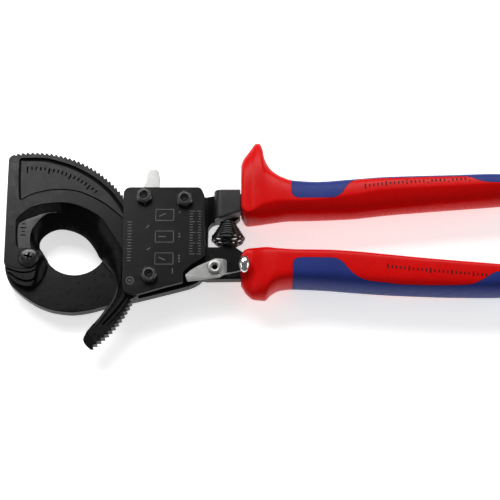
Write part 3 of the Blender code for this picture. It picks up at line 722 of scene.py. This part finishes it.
jaw_outer = smooth(
    [(-12.0, 1.5), (-11.9, -4.0), (-9.6, -10.4), (-5.3, -15.0), (0.4, -19.3), (5.6, -22.2),
     (12.0, -24.4), (20.7, -25.4), (28.5, -24.4), (36.0, -22.4), (44.0, -20.2)],
    6,
)
jaw_inner = arc((21.2, 9.2), 16.0, 8.0, -139.0, 48)
frame_outline = [
    *jaw_outer,
    (50.0, -19.2), (57.2, -17.4), (67.2, -14.8),
    *smooth([(76.0, -12.4), (80.0, -10.6), (83.2, -7.6), (84.6, -4.2)], 4),
    (85.0, -2.0), (85.0, 13.9),
    *arc((89.9, 15.6), 4.9, 195.0, 95.0, 10),
    (97.6, 20.0), (100.4, 22.6), (100.4, 33.8), (90.0, 34.0), (84.0, 32.9), (82.0, 33.4), (80.0, 34.4),
    (47.5, 35.4), (45.5, 31.0), (41.0, 18.0),
    *jaw_inner,
    *smooth([(7.9, 1.0), (6.6, 3.2), (3.6, 7.2), (-1.0, 9.0), (-6.0, 8.6), (-10.2, 5.8)], 5),
]
body = plate(
    "fixed_frame_fine",
    frame_outline,
    FRAME_Z,
    holes=[circle((0, 0), 3.1), circle(BOLT_A, 2.3), circle(BOLT_B, 2.3), circle(BOLT_C, 2.3)],
    bevel=0.4,
    look=BLACK,
)
# Ground underside of the fixed cutting edge.
cone = turned(
    "jaw_grind", (21.2, 9.2), [(0.0, 7.6), (16.02, 7.6), (19.0, 2.0), (0.0, 2.0)], 96, GRIND
)
boolean(body, cone)
# Ground under and before the tang block painted near-black as shadow; the block's front edge is rolled off.
boolean(body, plate("back_gap", [(84.6, 14.0), (90.0, 15.0), (90.4, 20.0), (97.0, 20.6), (101.0, 23.4), (101.0, 36.0), (84.6, 36.0)], (8.8, 12.0), look=RECESS_SHADE))
profile = [(88.0, 5.0), (88.0, 14.6)]
profile += [(91.6 - 3.6 * math.cos(math.radians(a)), 13.9 + 3.6 * math.sin(math.radians(a))) for a in range(12, 91, 13)]
profile += [(100.5, 17.5), (100.5, 5.0)]
block_rings = []
for y, lift in ((19.6, -0.5), (19.9, -0.12), (20.4, 0.0), (33.1, 0.0), (33.6, -0.12), (33.9, -0.5)):
    ring = []
    for x, z in profile:
        ring.append((x + (0.3 if lift < -0.3 and x < 89 else 0.0), y + max(0.0, (x - 97.4)) * (0.95 if y < 25 else 0.0), z + (lift if z > 12 else 0.0)))
    block_rings.append(ring)
boolean(body, loft("tang_block", block_rings, BLOCK), "UNION")
tang = plate(
    "tang",
    [(98.0, 24.0), (135.0, 25.4), (170.0, 28.2), (215.0, 31.0), (218.0, 33.0), (218.0, 36.0),
     (215.0, 38.0), (170.0, 36.4), (135.0, 33.6), (98.0, 32.6)],
    (7.0, 14.0),
    look=BLACK,
)
boolean(body, tang, "UNION")
bump = turned("cover_stop", (51.1, -18.6), [(0.0, 16.2), (1.0, 16.0), (1.3, 15.4), (1.3, 8.0), (0.0, 8.0)], 24, BLACK)
boolean(body, bump, "UNION")
done(body, "frame", "black_steel", "fixed_frame", angle=28.0, weighted=True)

# ------------------------------------------------------------------ cover plate and its marks

cover_outline = rounded(
    [(44.4, 34.9, 3.3), (81.6, 34.9, 2.5), (83.4, 30.5, 2.0), (84.0, 0.2, 1.0),
     (80.1, -2.7, 2.0), (77.1, -4.5, 2.0), (73.6, -7.9, 1.0), (73.6, -13.0, 1.2),
     (66.0, -15.0, 3.0), (52.0, -19.2, 2.0), (45.2, -19.4, 4.6)][::-1]
)
cover = plate(
    "cover_plate_fine", cover_outline, COVER_Z,
    holes=[circle(BOLT_A, 2.3), circle(BOLT_B, 2.3), circle(BOLT_C, 2.3)], bevel=0.35, look=COVER,
)
done(cover, "frame", "black_steel", "cover_plate", angle=28.0, weighted=True)

bars = []
for k in range(17):  # scale column on the right
    y = 22.5 - 1.35 * k
    bars.append((77.2 + (0.5 if k % 4 == 0 else 0.0), y, 2.6 if k % 4 == 0 else 1.5, 0.34, 0.0))
for k in range(17):
    y = 22.5 - 1.35 * k
    bars.append((81.2 - (0.3 if k % 4 == 0 else 0.0), y, 2.0 if k % 4 == 0 else 1.2, 0.34, 0.0))
for k in range(14):  # column on the left
    bars.append((47.9, 17.0 - 1.5 * k, 1.7 if k % 3 else 2.3, 0.4, 0.0))
for k, y in enumerate((20.6, 9.6, -1.4)):  # three framed steps with an arrow each
    for x0, y0, length, angle in ((64.5, y + 2.8, 8.5, 0.0), (64.5, y - 2.8, 8.5, 0.0), (60.2, y, 5.2, 90.0), (68.8, y, 5.2, 90.0)):
        bars.append((x0, y0, length, 0.3, angle))
    bars.append((63.4, y, 3.4, 0.45, 25.0 - 25.0 * k))
    for j in range(k + 1):
        bars.append((71.6, y + 1.4 - 1.4 * j, 0.7, 0.7, 45.0))
bars += [(56.4, 14.6, 2.0, 0.5, 50.0), (57.0, 3.4, 2.0, 0.5, 35.0), (68.6, -7.6, 2.6, 0.5, 90.0)]
marks = boxes("cover_marks", bars, (17.56, 17.64), ETCH)
done(marks, "frame", "black_steel")
ring_mark = turned("cover_ring_mark", (48.6, -12.3), [(1.9, 17.64), (1.9, 17.56), (1.5, 17.56), (1.5, 17.64)], 32, ETCH)
done(ring_mark, "frame", "black_steel")
disc = boxes("cover_ring_ticks", [(48.6, -12.3, 1.4, 0.35, 90.0), (48.0, -12.3, 0.35, 0.9, 0.0), (49.2, -12.3, 0.35, 0.9, 0.0)], (17.56, 17.64), ETCH)
done(disc, "frame", "black_steel")

# ------------------------------------------------------------------ bolts, nuts, sleeves

for letter, where, turn in (("a", BOLT_A, 9.0), ("b", BOLT_B, 30.0), ("c", BOLT_C, 9.0)):
    profile = [(0.0, 20.5), (0.5, 20.75), (1.1, 20.85), (1.55, 20.85), (1.95, 20.5)]
    z = 20.2
    while z > 18.2:
        profile += [(1.72, z), (1.95, z - 0.35)]
        z -= 0.7
    profile += [(2.0, 17.9), (2.0, 2.7), (4.0, 2.7), (4.25, 2.6), (4.4, 2.35), (4.4, 0.45), (4.25, 0.12), (4.0, 0.0), (0.0, 0.0)]
    bolt = turned("bolt_" + letter + "_fine", where, profile, 40, BOLT)
    # The socket and the nut bores below are painted near-black as shade.
    boolean(bolt, plate("socket", circle(where, 1.75, 6), (-1.0, 1.7), look=RECESS_SHADE))
    done(bolt, "frame", "screw_steel", "bolt_" + letter)

    nut = plate("nut_" + letter + "_fine", circle(where, 7.0 / math.sqrt(3), 6, math.radians(30 + turn)), (17.9, 20.4), look=SCREW)
    cap = turned("nut_chamfer", where, [(0.0, 20.5), (3.1, 20.5), (4.3, 19.6), (4.3, 18.15), (3.8, 17.8), (0.0, 17.8)], 48, SCREW)
    boolean(nut, cap, "INTERSECT")
    # The collar carries the painted highlight material.
    collar = turned("nut_collar", where, [(0.0, 21.3), (2.35, 21.3), (2.75, 21.1), (2.95, 20.7), (3.0, 20.0), (0.0, 20.0)], 48, COLLAR_HIGHLIGHT)
    boolean(nut, collar, "UNION")
    bore = turned("nut_bore", where, [(0.0, 22.0), (2.3, 22.0), (2.02, 21.0), (2.02, 17.0), (0.0, 17.0)], 48, RECESS_SHADE)
    boolean(nut, bore)
    done(nut, "frame", "screw_steel", "nut_" + letter, angle=25.0)

    radius = 3.0 if letter == "b" else 3.4
    sleeve = turned(
        "spacer_" + letter + "_fine", where,
        [(radius - 0.15, 14.8), (radius, 14.65), (radius, 9.45), (radius - 0.15, 9.3), (2.3, 9.3), (2.3, 14.8)], 48, GROUND,
    )
    done(sleeve, "frame", "ground_steel", "spacer_sleeve_" + letter)

pivot_nut = plate("pivot_nut_fine", circle((0, 0), 6.0, 6), (0.0, 2.7), look=SCREW)
boolean(pivot_nut, turned("pivot_nut_chamfer", (0, 0), [(0.0, 2.8), (6.2, 2.8), (6.2, 0.75), (5.1, -0.02), (0.0, -0.02)], 64, SCREW), "INTERSECT")
boolean(pivot_nut, turned("pivot_nut_bore", (0, 0), [(0.0, 4.0), (3.1, 4.0), (3.1, 0.5), (3.6, -0.1), (0.0, -0.1)], 64, RECESS_SHADE))
done(pivot_nut, "frame", "screw_steel", "blade_pivot_nut", angle=25.0)

# ------------------------------------------------------------------ lower lever

lever_outline = [
    *arc(BOLT_C, 7.3, 205.0, -15.0, 24),
    *smooth([(82.2, 20.0), (83.6, 9.0), (84.2, 6.6), (85.6, 5.3)], 4), (98.2, 5.3), (101.5, 3.0),
    *smooth([(108.0, -1.4), (135.0, -1.6), (170.0, -4.2), (214.0, -7.2)], 4),
    (217.0, -9.0), (217.0, -12.0),
    *smooth([(214.0, -13.6), (170.0, -11.2), (135.0, -8.8), (108.0, -9.6)], 4),
    (101.5, -10.6), (84.9, -10.8), (77.0, -9.6), (69.0, -2.0), (65.2, 8.0), (65.0, 20.0),
]
lever = plate("lower_lever_fine", lever_outline, MID_Z, holes=[circle(BOLT_C, 3.7)], bevel=0.35, look=BLACK)
arm = plate("lever_arm", [*arc(PAWL_PIN, 3.2, 110.0, 290.0, 18), (70.0, 21.6), (69.0, 29.4)], (9.3, 11.15), look=BLACK)
boolean(lever, arm, "UNION")
# Pin and rivet holes painted near-black as shade.
boolean(lever, turned("pin_hole", PAWL_PIN, [(0.0, 16.0), (1.9, 16.0), (1.9, 8.0), (0.0, 8.0)], 32, RECESS_SHADE))
boolean(lever, plate("lever_notch", circle(PAWL_PIN, 6.9, 48), (11.15, 16.0), look=BLACK))
boolean(lever, turned("rivet_hole", RIVET, [(0.0, 16.0), (2.4, 16.0), (2.4, 8.0), (0.0, 8.0)], 32, RECESS_SHADE))
done(lever, "lower_handle", "black_steel", "lower_lever", angle=28.0, weighted=True)

# ------------------------------------------------------------------ storage latch

latch = plate(
    "latch_lever_fine",
    rounded([(74.4, -9.4, 0.6), (75.6, -12.2, 0.8), (84.0, -11.0, 2.0), (91.0, -10.2, 2.0),
             (94.2, -8.6, 1.0), (94.2, -1.3, 1.0), (88.6, -1.0, 2.0), (80.1, -4.9, 2.0),
             (76.4, -7.4, 0.8)]),
    (15.1, 16.4),
    holes=[circle(RIVET, 2.4)],
    bevel=0.2,
    look=SILVER,
)
boolean(latch, wedge("latch_bend", [(92.3, 1.0), (97.0, 1.0), (97.0, -14.0), (92.9, -14.0)],
                     lambda x, y: 16.4 - max(0.0, (x - 92.3 + 0.03 * (y - 1.0))) * 0.55, SILVER))
# Upright strip that carries the thumb knob.
strip = []
for x, y, z0, z1, half in ((90.6, -9.55, 15.6, 16.6, 0.35), (92.6, -9.2, 15.7, 17.2, 0.35), (95.5, -8.85, 16.0, 18.0, 0.33),
                     (99.0, -8.3, 16.2, 18.6, 0.32), (102.2, -7.6, 16.4, 19.2, 0.32), (103.4, -7.0, 16.8, 19.4, 0.32)):
    strip.append([(x, y - half, z0), (x, y + half, z0), (x, y + half, z1), (x, y - half, z1)])
arm = loft("latch_arm_fine", strip, POLISHED)
arm.modifiers.new("soft", "BEVEL").width = 0.00012
apply_all(arm)
knob_rings = []
for i in range(1, 24):
    a = math.pi * i / 24
    r, h = math.sin(a), math.cos(a)
    ring = []
    for k in range(36):
        b = 2 * math.pi * k / 36
        cx, cy = math.cos(b), math.sin(b)
        x, y = 2.9 * r * cx, 4.2 * r * cy
        z = 2.7 * h
        rim = max(0.0, cx * 0.75 - cy * 0.5) * math.exp(-(h / 0.28) ** 2)
        ring.append((102.6 + x * (1 + 0.06 * rim), -4.5 + y * (1 + 0.05 * rim), 18.8 + z))
    knob_rings.append(ring)
knob = loft("thumb_knob", knob_rings, POLISHED)
boolean(knob, arm, "UNION")
done(knob, "latch", "bright_steel", angle=40.0)
done(latch, "latch", "bright_steel", "latch_lever", angle=25.0, weighted=True)

rivet = turned(
    "latch_rivet_fine", RIVET,
    [(1.3, 16.9), (1.55, 17.2), (2.0, 17.3), (2.9, 17.26), (3.3, 17.1), (3.5, 16.85), (3.4, 16.62), (2.1, 16.6), (2.1, 9.1), (1.3, 9.1)],
    64, SILVER,
)
done(rivet, "lower_handle", "bright_steel", "latch_rivet", angle=50.0)
# Near-black painted shade in the rivet's hollow.
hole_floor = turned("rivet_core", RIVET, [(0.0, 14.2), (1.28, 14.2), (1.28, 9.3), (0.0, 9.3)], 32, RECESS_SHADE)
done(hole_floor, "lower_handle", "bright_steel")

# ------------------------------------------------------------------ release tab

tab = plate(
    "release_lever_fine",
    [
        *arc(BOLT_A, 4.9, 150.0, 370.0, 32),
        *smooth([(61.0, 34.0), (61.6, 39.3), (61.4, 42.4)], 4),
        *arc((58.3, 43.4), 2.9, 0.0, 168.0, 16),
        (54.9, 40.0), (53.6, 36.6), (51.6, 34.6),
    ],
    (11.6, 12.9),
    holes=[circle(BOLT_A, 3.7)],
    bevel=0.25,
    look=SILVER,
)
done(tab, "hold_pawl", "bright_steel", "release_lever", angle=28.0, weighted=True)

# ------------------------------------------------------------------ opening spring

def level(table, x):
    """Smooth reading of an (x, value) table, without overshoot."""
    if x <= table[0][0]:
        return table[0][1]
    if x >= table[-1][0]:
        return table[-1][1]
    for k in range(len(table) - 1):
        xa, a = table[k]
        xb, b = table[k + 1]
        if x <= xb:
            break
    def slope(i):
        if i <= 0 or i >= len(table) - 1:
            one, two = (0, 1) if i <= 0 else (-2, -1)
            return (table[two][1] - table[one][1]) / (table[two][0] - table[one][0])
        l = (table[i][1] - table[i - 1][1]) / (table[i][0] - table[i - 1][0])
        r = (table[i + 1][1] - table[i][1]) / (table[i + 1][0] - table[i][0])
        if l * r <= 0:
            return 0.0
        return 2 * l * r / (l + r)
    h = xb - xa
    t = (x - xa) / h
    return (
        (2 * t**3 - 3 * t**2 + 1) * a + (t**3 - 2 * t**2 + t) * h * slope(k)
        + (-2 * t**3 + 3 * t**2) * b + (t**3 - t**2) * h * slope(k + 1)
    )


COIL = [(0.0, 4.2), (0.1, 4.8), (0.2, 6.7), (0.33, 7.6), (0.5, 6.3), (0.7, 4.9), (0.86, 3.7), (1.0, 3.3)]
turns, per_turn, sides = 8.6, 34, 12
wire_r = 0.62
total = int(turns * per_turn)
path = []
for k in range(total + 1):
    share = k / total
    radius = level(COIL, share)
    a = 2 * math.pi * turns * share + 0.6
    path.append((SPRING_X + radius * math.cos(a), SPRING_Y[0] + 0.1 + (SPRING_Y[1] - SPRING_Y[0] - 0.2) * share, SPRING_Z + radius * math.sin(a)))
coil_rings = []
for k, here in enumerate(path):
    here = Vector(here)
    ahead = (Vector(path[min(total, k + 1)]) - Vector(path[max(0, k - 1)])).normalized()
    side = ahead.cross(Vector((0, 1, 0))).normalized()
    up = side.cross(ahead).normalized()
    coil_rings.append([tuple(here + (side * math.cos(2 * math.pi * j / sides) + up * math.sin(2 * math.pi * j / sides)) * wire_r) for j in range(sides)])
coil = loft("handle_spring_fine", coil_rings, SPRING)
coil.data.shade_smooth()
coil.data.set_sharp_from_angle(angle=math.radians(40))
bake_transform(coil)
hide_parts("handle_spring")

for name, low, high, rider, node in (
    ("spring_seat_upper", 16.6, 19.6, "frame", "spring_peg_upper"),
    ("spring_seat_lower", 5.6, 8.6, "lower_handle", "spring_peg_lower"),
):
    tip = -1 if rider == "frame" else 1
    base, end = (high, low) if tip < 0 else (low, high)
    rows = []
    for y, r in ((base, 2.4), (end - tip * 0.5, 2.4), (end - tip * 0.15, 2.25), (end, 1.9)):
        rows.append([(SPRING_X + r * math.cos(2 * math.pi * k / 32), y, SPRING_Z + r * math.sin(2 * math.pi * k / 32)) for k in range(32)])
    done(loft(name, rows, BLACK), rider, "black_steel", node)

# ------------------------------------------------------------------ grips

UPPER_OUTER = [
    (100.7, 47.4), (101.5, 50.4), (104.0, 54.4), (106.4, 57.9), (108.0, 60.0), (109.6, 60.0),
    (111.0, 58.2), (112.2, 51.8), (115.5, 45.4), (119.7, 41.8), (126.4, 39.3), (137.2, 38.6),
    (153.9, 39.8), (170.7, 41.1), (187.4, 41.6), (204.2, 42.0), (220.7, 42.5), (230.5, 42.2),
    (235.5, 40.6), (238.0, 37.6),
]
UPPER_INNER = [
    (100.7, 23.4), (103.9, 18.9), (108.9, 19.0), (116.3, 19.9), (124.6, 21.0), (137.2, 21.2),
    (153.9, 21.8), (170.7, 23.6), (187.4, 25.1), (204.2, 26.5), (220.7, 27.8), (230.5, 28.8),
    (235.5, 30.4), (238.0, 33.4),
]
LOWER_INNER = [
    (101.0, 1.8), (102.6, 4.6), (105.5, 5.5), (112.1, 5.4), (118.6, 4.2), (128.6, 3.5),
    (140.8, 3.4), (153.1, 2.7), (169.5, 1.1), (185.8, -0.6), (202.2, -2.1), (218.3, -3.5),
    (230.5, -4.7), (235.5, -6.2), (238.0, -8.8),
]
LOWER_OUTER = [
    (101.0, -12.6), (103.5, -16.8), (107.1, -19.4), (112.0, -19.6), (115.3, -16.3),
    (119.5, -13.9), (126.0, -13.3), (136.7, -13.8), (153.1, -15.1), (169.5, -16.3),
    (185.8, -17.0), (202.2, -17.5), (218.3, -17.6), (230.5, -17.2), (235.5, -15.6),
    (238.0, -12.2),
]
LOWER_THICK = [
    (100.7, 5.0), (103.0, 5.1), (105.6, 5.4), (108.0, 6.6), (112.0, 8.6), (118.0, 10.3),
    (122.0, 10.5), (228.0, 10.5), (233.0, 10.0), (236.0, 8.2), (238.0, 4.6),
]
UPPER_THICK = [
    (100.7, 8.2), (101.4, 9.5), (102.6, 10.0), (104.6, 10.02), (105.8, 9.95), (107.2, 10.2), (110.0, 10.4), (114.0, 10.5), (228.0, 10.5),
    (233.0, 10.0), (236.0, 8.2), (238.0, 4.6),
]
UPPER_CREASE = [
    (100.7, 24.6), (103.0, 21.4), (104.7, 21.4), (112.1, 25.4), (120.4, 26.8), (128.7, 26.8), (141.0, 27.8),
    (153.5, 29.6), (170.1, 32.2), (186.7, 33.4), (203.4, 34.3), (225.6, 35.4), (238.0, 36.0),
]
LOWER_CREASE = [
    (100.7, -9.0), (107.0, -14.0), (113.0, -13.5), (118.0, -11.0), (126.0, -9.6), (140.0, -9.6),
    (155.0, -10.8), (170.0, -12.0), (202.0, -13.4), (226.0, -13.6), (238.0, -11.5),
]


STATIONS = []
x = 100.9
while x < 238.0:
    STATIONS.append(x)
    x += 0.8 if x < 128 else (3.0 if x < 222 else (1.2 if x < 234 else 0.5))
STATIONS.append(238.0)


def spline_ring(points, per=5):
    """A closed uniform cubic B-spline through the hull of the points."""
    count = len(points)
    found = []
    for k in range(count):
        a, b, c, d = (points[(k + i) % count] for i in range(-1, 3))
        for j in range(per):
            t = j / per
            w = ((1 - t) ** 3 / 6, (3 * t**3 - 6 * t**2 + 4) / 6, (-3 * t**3 + 3 * t**2 + 3 * t + 1) / 6, t**3 / 6)
            found.append(tuple(w[0] * a[i] + w[1] * b[i] + w[2] * c[i] + w[3] * d[i] for i in range(2)))
    return found


def grip_section(kind, x, low, high, half, crease):
    """One closed section (y, z) about the grip's middle plane."""
    w = high - low
    c = min(0.6, max(0.06, (crease - low) / w))
    if kind == "upper":
        lobe = max(0.0, min(1.0, (118.0 - x) / 8.0))
        far = 0.86 - 0.10 * lobe
        upper = [
            (0.0, 0.33), (0.25 * c, 0.74), (c * 0.96, 1.0), (c * 1.02, 1.005), (c + 0.3 * (1 - c), 0.985),
            (c + 0.62 * (1 - c), 0.93 - 0.02 * lobe), (far + 0.04, 0.80 - 0.08 * lobe), (0.985, 0.45),
        ]
    else:
        upper = [
            (0.0, 0.33), (0.22 * c, 0.74), (0.8 * c, 0.95), (c + 0.06, 1.0), (c + 0.4 * (1 - c), 1.0),
            (0.80, 0.99), (0.90, 0.965), (0.965, 0.82), (1.0, 0.42),
        ]
    lower = [(u, -v) for u, v in reversed(upper)]
    ring = spline_ring([*upper, *lower], 4)
    us, vs = [p[0] for p in ring], [p[1] for p in ring]
    u0, u1, v1 = min(us), max(us), max(vs)
    return [(low + (u - u0) / (u1 - u0) * w, v / v1 * half) for u, v in ring]


def grip_solid(name, kind, low, high, thick, crease, inset=0.0, shrink_ends=0.0):
    stations = [s for s in STATIONS if 100.9 + shrink_ends <= s <= 238.0 - shrink_ends]
    if shrink_ends:
        stations = [100.9 + shrink_ends, *stations, 238.0 - shrink_ends]
    rings = []
    for s in stations:
        y0, y1 = level(low, s) + inset, level(high, s) - inset
        section = grip_section(kind, s, y0, y1, level(thick, s) - inset, level(crease, s))
        rings.append([(s, y, 10.5 + z) for y, z in section])
    return loft(name, rings)


UPPER_BLUE = [
    (125.2, 70.0), *smooth([(125.2, 33.0), (125.4, 30.6), (126.6, 28.9), (129.0, 28.2)], 4),
    *smooth([(143.0, 28.3), (146.0, 28.7), (148.8, 30.4), (150.8, 33.4), (152.9, 36.2), (155.4, 37.8), (158.0, 38.5)], 5),
    (190.0, 39.4),
    *smooth([(207.0, 39.6), (211.0, 39.2), (215.0, 37.3), (219.0, 36.4), (223.0, 36.2)], 4), (245.0, 36.2), (245.0, 70.0),
]
LOWER_BLUE = [
    (125.4, -50.0), *smooth([(125.4, -5.4), (125.7, -3.8), (127.2, -2.4), (129.8, -1.9)], 4),
    *smooth([(143.0, -2.0), (146.2, -2.5), (149.0, -4.4), (151.6, -7.6), (154.6, -10.5), (158.0, -12.3), (162.0, -13.3)], 5),
    *smooth([(176.0, -14.8), (192.0, -15.3), (206.0, -15.2), (211.0, -14.4), (216.0, -11.9), (220.0, -9.5), (225.0, -8.6)], 4),
    (245.0, -8.6), (245.0, -50.0),
]

grips = {}
for kind, low, high, thick, crease, region, core, rider in (
    ("upper", UPPER_INNER, UPPER_OUTER, UPPER_THICK, UPPER_CREASE, UPPER_BLUE,
     ([(90.0, 23.5), (135.0, 25.0), (170.0, 27.8), (216.0, 30.6), (218.6, 32.8), (218.6, 36.4),
       (215.0, 38.5), (170.0, 36.9), (135.0, 34.1), (90.0, 33.1)], (6.6, 14.4)), "frame"),
    ("lower", LOWER_OUTER, LOWER_INNER, LOWER_THICK, LOWER_CREASE, LOWER_BLUE,
     ([(90.0, -11.0), (101.5, -11.0), (108.0, -10.1), (135.0, -9.3), (170.0, -11.7),
       (214.0, -14.1), (217.6, -12.3), (217.6, -8.7), (214.0, -6.6), (170.0, -3.6),
       (135.0, -1.0), (108.0, -0.8), (101.5, 3.6), (90.0, 3.6)], (9.0, 15.1)), "lower_handle"),
):
    red = dress(grip_solid(kind + "_grip_red_fine", kind, low, high, thick, crease), RED)
    grips[kind] = BVHTree.FromPolygons([v.co for v in red.data.vertices], [p.vertices for p in red.data.polygons])
    skin = shown(kind + "_grip_blue_fine", red.data.copy())
    dress(skin, BLUE)
    boolean(skin, plate(kind + "_region", region, (-5.0, 30.0), look=BLUE), "INTERSECT")
    boolean(skin, dress(grip_solid(kind + "_inner", kind, low, high, thick, crease, 1.5, 1.5), BLUE))
    pocket = plate(kind + "_pocket", moved_out(region, 0.16), (-5.0, 30.0), look=RED)
    boolean(pocket, dress(grip_solid(kind + "_heart", kind, low, high, thick, crease, 1.7, 1.7), RED))
    boolean(red, pocket)
    boolean(red, plate(kind + "_core_hole", core[0], core[1], look=RED))
    done(red, rider, "red_plastic", kind + "_grip_red", angle=38.0)
    done(skin, rider, "blue_plastic", kind + "_grip_blue", angle=38.0)


def grip_marks(name, kind, dashes, rider):
    """Small printed dashes that follow the grip's top surface."""
    cage = bmesh.new()
    for x, y, length, width, degrees in dashes:
        c, s = math.cos(math.radians(degrees)), math.sin(math.radians(degrees))
        top, low = [], []
        for u, v in ((-1, -1), (1, -1), (1, 1), (-1, 1)):
            px = x + u * length / 2 * c - v * width / 2 * s
            py = y + u * length / 2 * s + v * width / 2 * c
            hit = grips[kind].ray_cast(place(px, py, 30.0), Vector((0, 0, -1)))[0]
            top.append(cage.verts.new(hit + Vector((0, 0, 0.00006))))
            low.append(cage.verts.new(hit - Vector((0, 0, 0.00020))))
        cage.faces.new(top)
        cage.faces.new(low[::-1])
        for k in range(4):
            j = (k + 1) % 4
            cage.faces.new((low[k], low[j], top[j], top[k]))
    bmesh.ops.recalc_face_normals(cage, faces=cage.faces)
    mesh = bpy.data.meshes.new(name)
    cage.to_mesh(mesh)
    cage.free()
    done(dress(shown(name, mesh), DARK_RED), rider, "red_plastic")


dashes = []
for k in range(26):
    x = 160.5 + 2.0 * k
    dashes.append((x, level(UPPER_CREASE, x) + 3.4, 0.7, 2.6 if k % 5 == 0 else 1.5, 4.0))
grip_marks("upper_grip_scale", "upper", dashes, "frame")
dashes = []
for k in range(24):
    x = 170.0 + 2.0 * k
    dashes.append((x, level(LOWER_INNER, x) - 7.4, 0.7, 2.5 if k % 5 == 0 else 1.4, -3.0))
grip_marks("lower_grip_scale", "lower", dashes, "lower_handle")

# ------------------------------------------------------------------ CAD nodes that stay

for node, look in (
    ("drive_pawl", GROUND), ("hold_pawl", GROUND), ("drive_pawl_pin", GROUND), ("pawl_spring_post", GROUND),
    ("drive_pawl_spring", SPRING), ("hold_pawl_spring", SPRING),
):
    dress(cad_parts[node], look)

# ------------------------------------------------------------------ floor, lights, camera

bpy.ops.mesh.primitive_plane_add(size=6.0, location=(0.0, 0.0, -0.00002))
floor = bpy.context.object
floor.name = "floor"
n = Nodes("floor_paper")
n.link(n.mix(n.noise(3.0, 2.0), (0.83, 0.83, 0.83), (0.85, 0.85, 0.85)), n.shader.inputs["Base Color"])
n.set(Roughness=0.9, Specular_IOR_Level=0.1, Emission_Color=(1.0, 1.0, 1.0, 1.0), Emission_Strength=0.6)
dress(floor, n.material)


def softbox(name, azimuth, elevation, distance, width, height, radiance, target=(0.0, 0.0, 0.01), spread=180.0):
    light = bpy.data.lights.new(name, "AREA")
    light.spread = math.radians(spread)
    light.shape = "RECTANGLE"
    light.size, light.size_y = width, height
    light.energy = radiance * math.pi * width * height
    obj = bpy.data.objects.new(name, light)
    a, e = math.radians(azimuth), math.radians(elevation)
    direction = Vector((math.cos(e) * math.sin(a), math.cos(e) * math.cos(a), math.sin(e)))
    obj.location = Vector(target) + direction * distance
    obj.rotation_euler = direction.to_track_quat("Z", "Y").to_euler()
    bpy.context.scene.collection.objects.link(obj)
    return obj


# azimuth 0 is behind the tool (+Y), 90 is to its right (+X)
softbox("key", -10.0, 42.0, 1.6, 1.9, 0.6, 8.0)
softbox("left", -95.0, 24.0, 1.7, 1.2, 0.5, 2.0)
softbox("right", 95.0, 26.0, 1.7, 1.2, 0.6, 2.5)
softbox("accent", -22.0, 66.0, 0.45, 0.13, 0.13, 0.40, (-0.13, 0.06, 0.01), 27.0)

world = bpy.data.worlds.new("studio")
bpy.context.scene.world = world
world.use_nodes = True
world.node_tree.nodes["Background"].inputs["Color"].default_value = (1.0, 1.0, 1.0, 1.0)
world.node_tree.nodes["Background"].inputs["Strength"].default_value = 0.16

camera = bpy.data.cameras.new("camera")
camera.sensor_width = 36.0
camera.lens = 106.8
camera.clip_start, camera.clip_end = 0.05, 20.0
eye = bpy.data.objects.new("camera", camera)
aim = place(105.2, 3.8, 14.8)
tilt = math.radians(71.0)
eye.location = aim + Vector((0.0, -math.cos(tilt), math.sin(tilt))) * 0.706
eye.rotation_euler = (math.radians(90.0 - 71.0), 0.0, 0.0)
bpy.context.scene.collection.objects.link(eye)
bpy.context.scene.camera = eye
bpy.context.scene.view_settings.view_transform = "Standard"
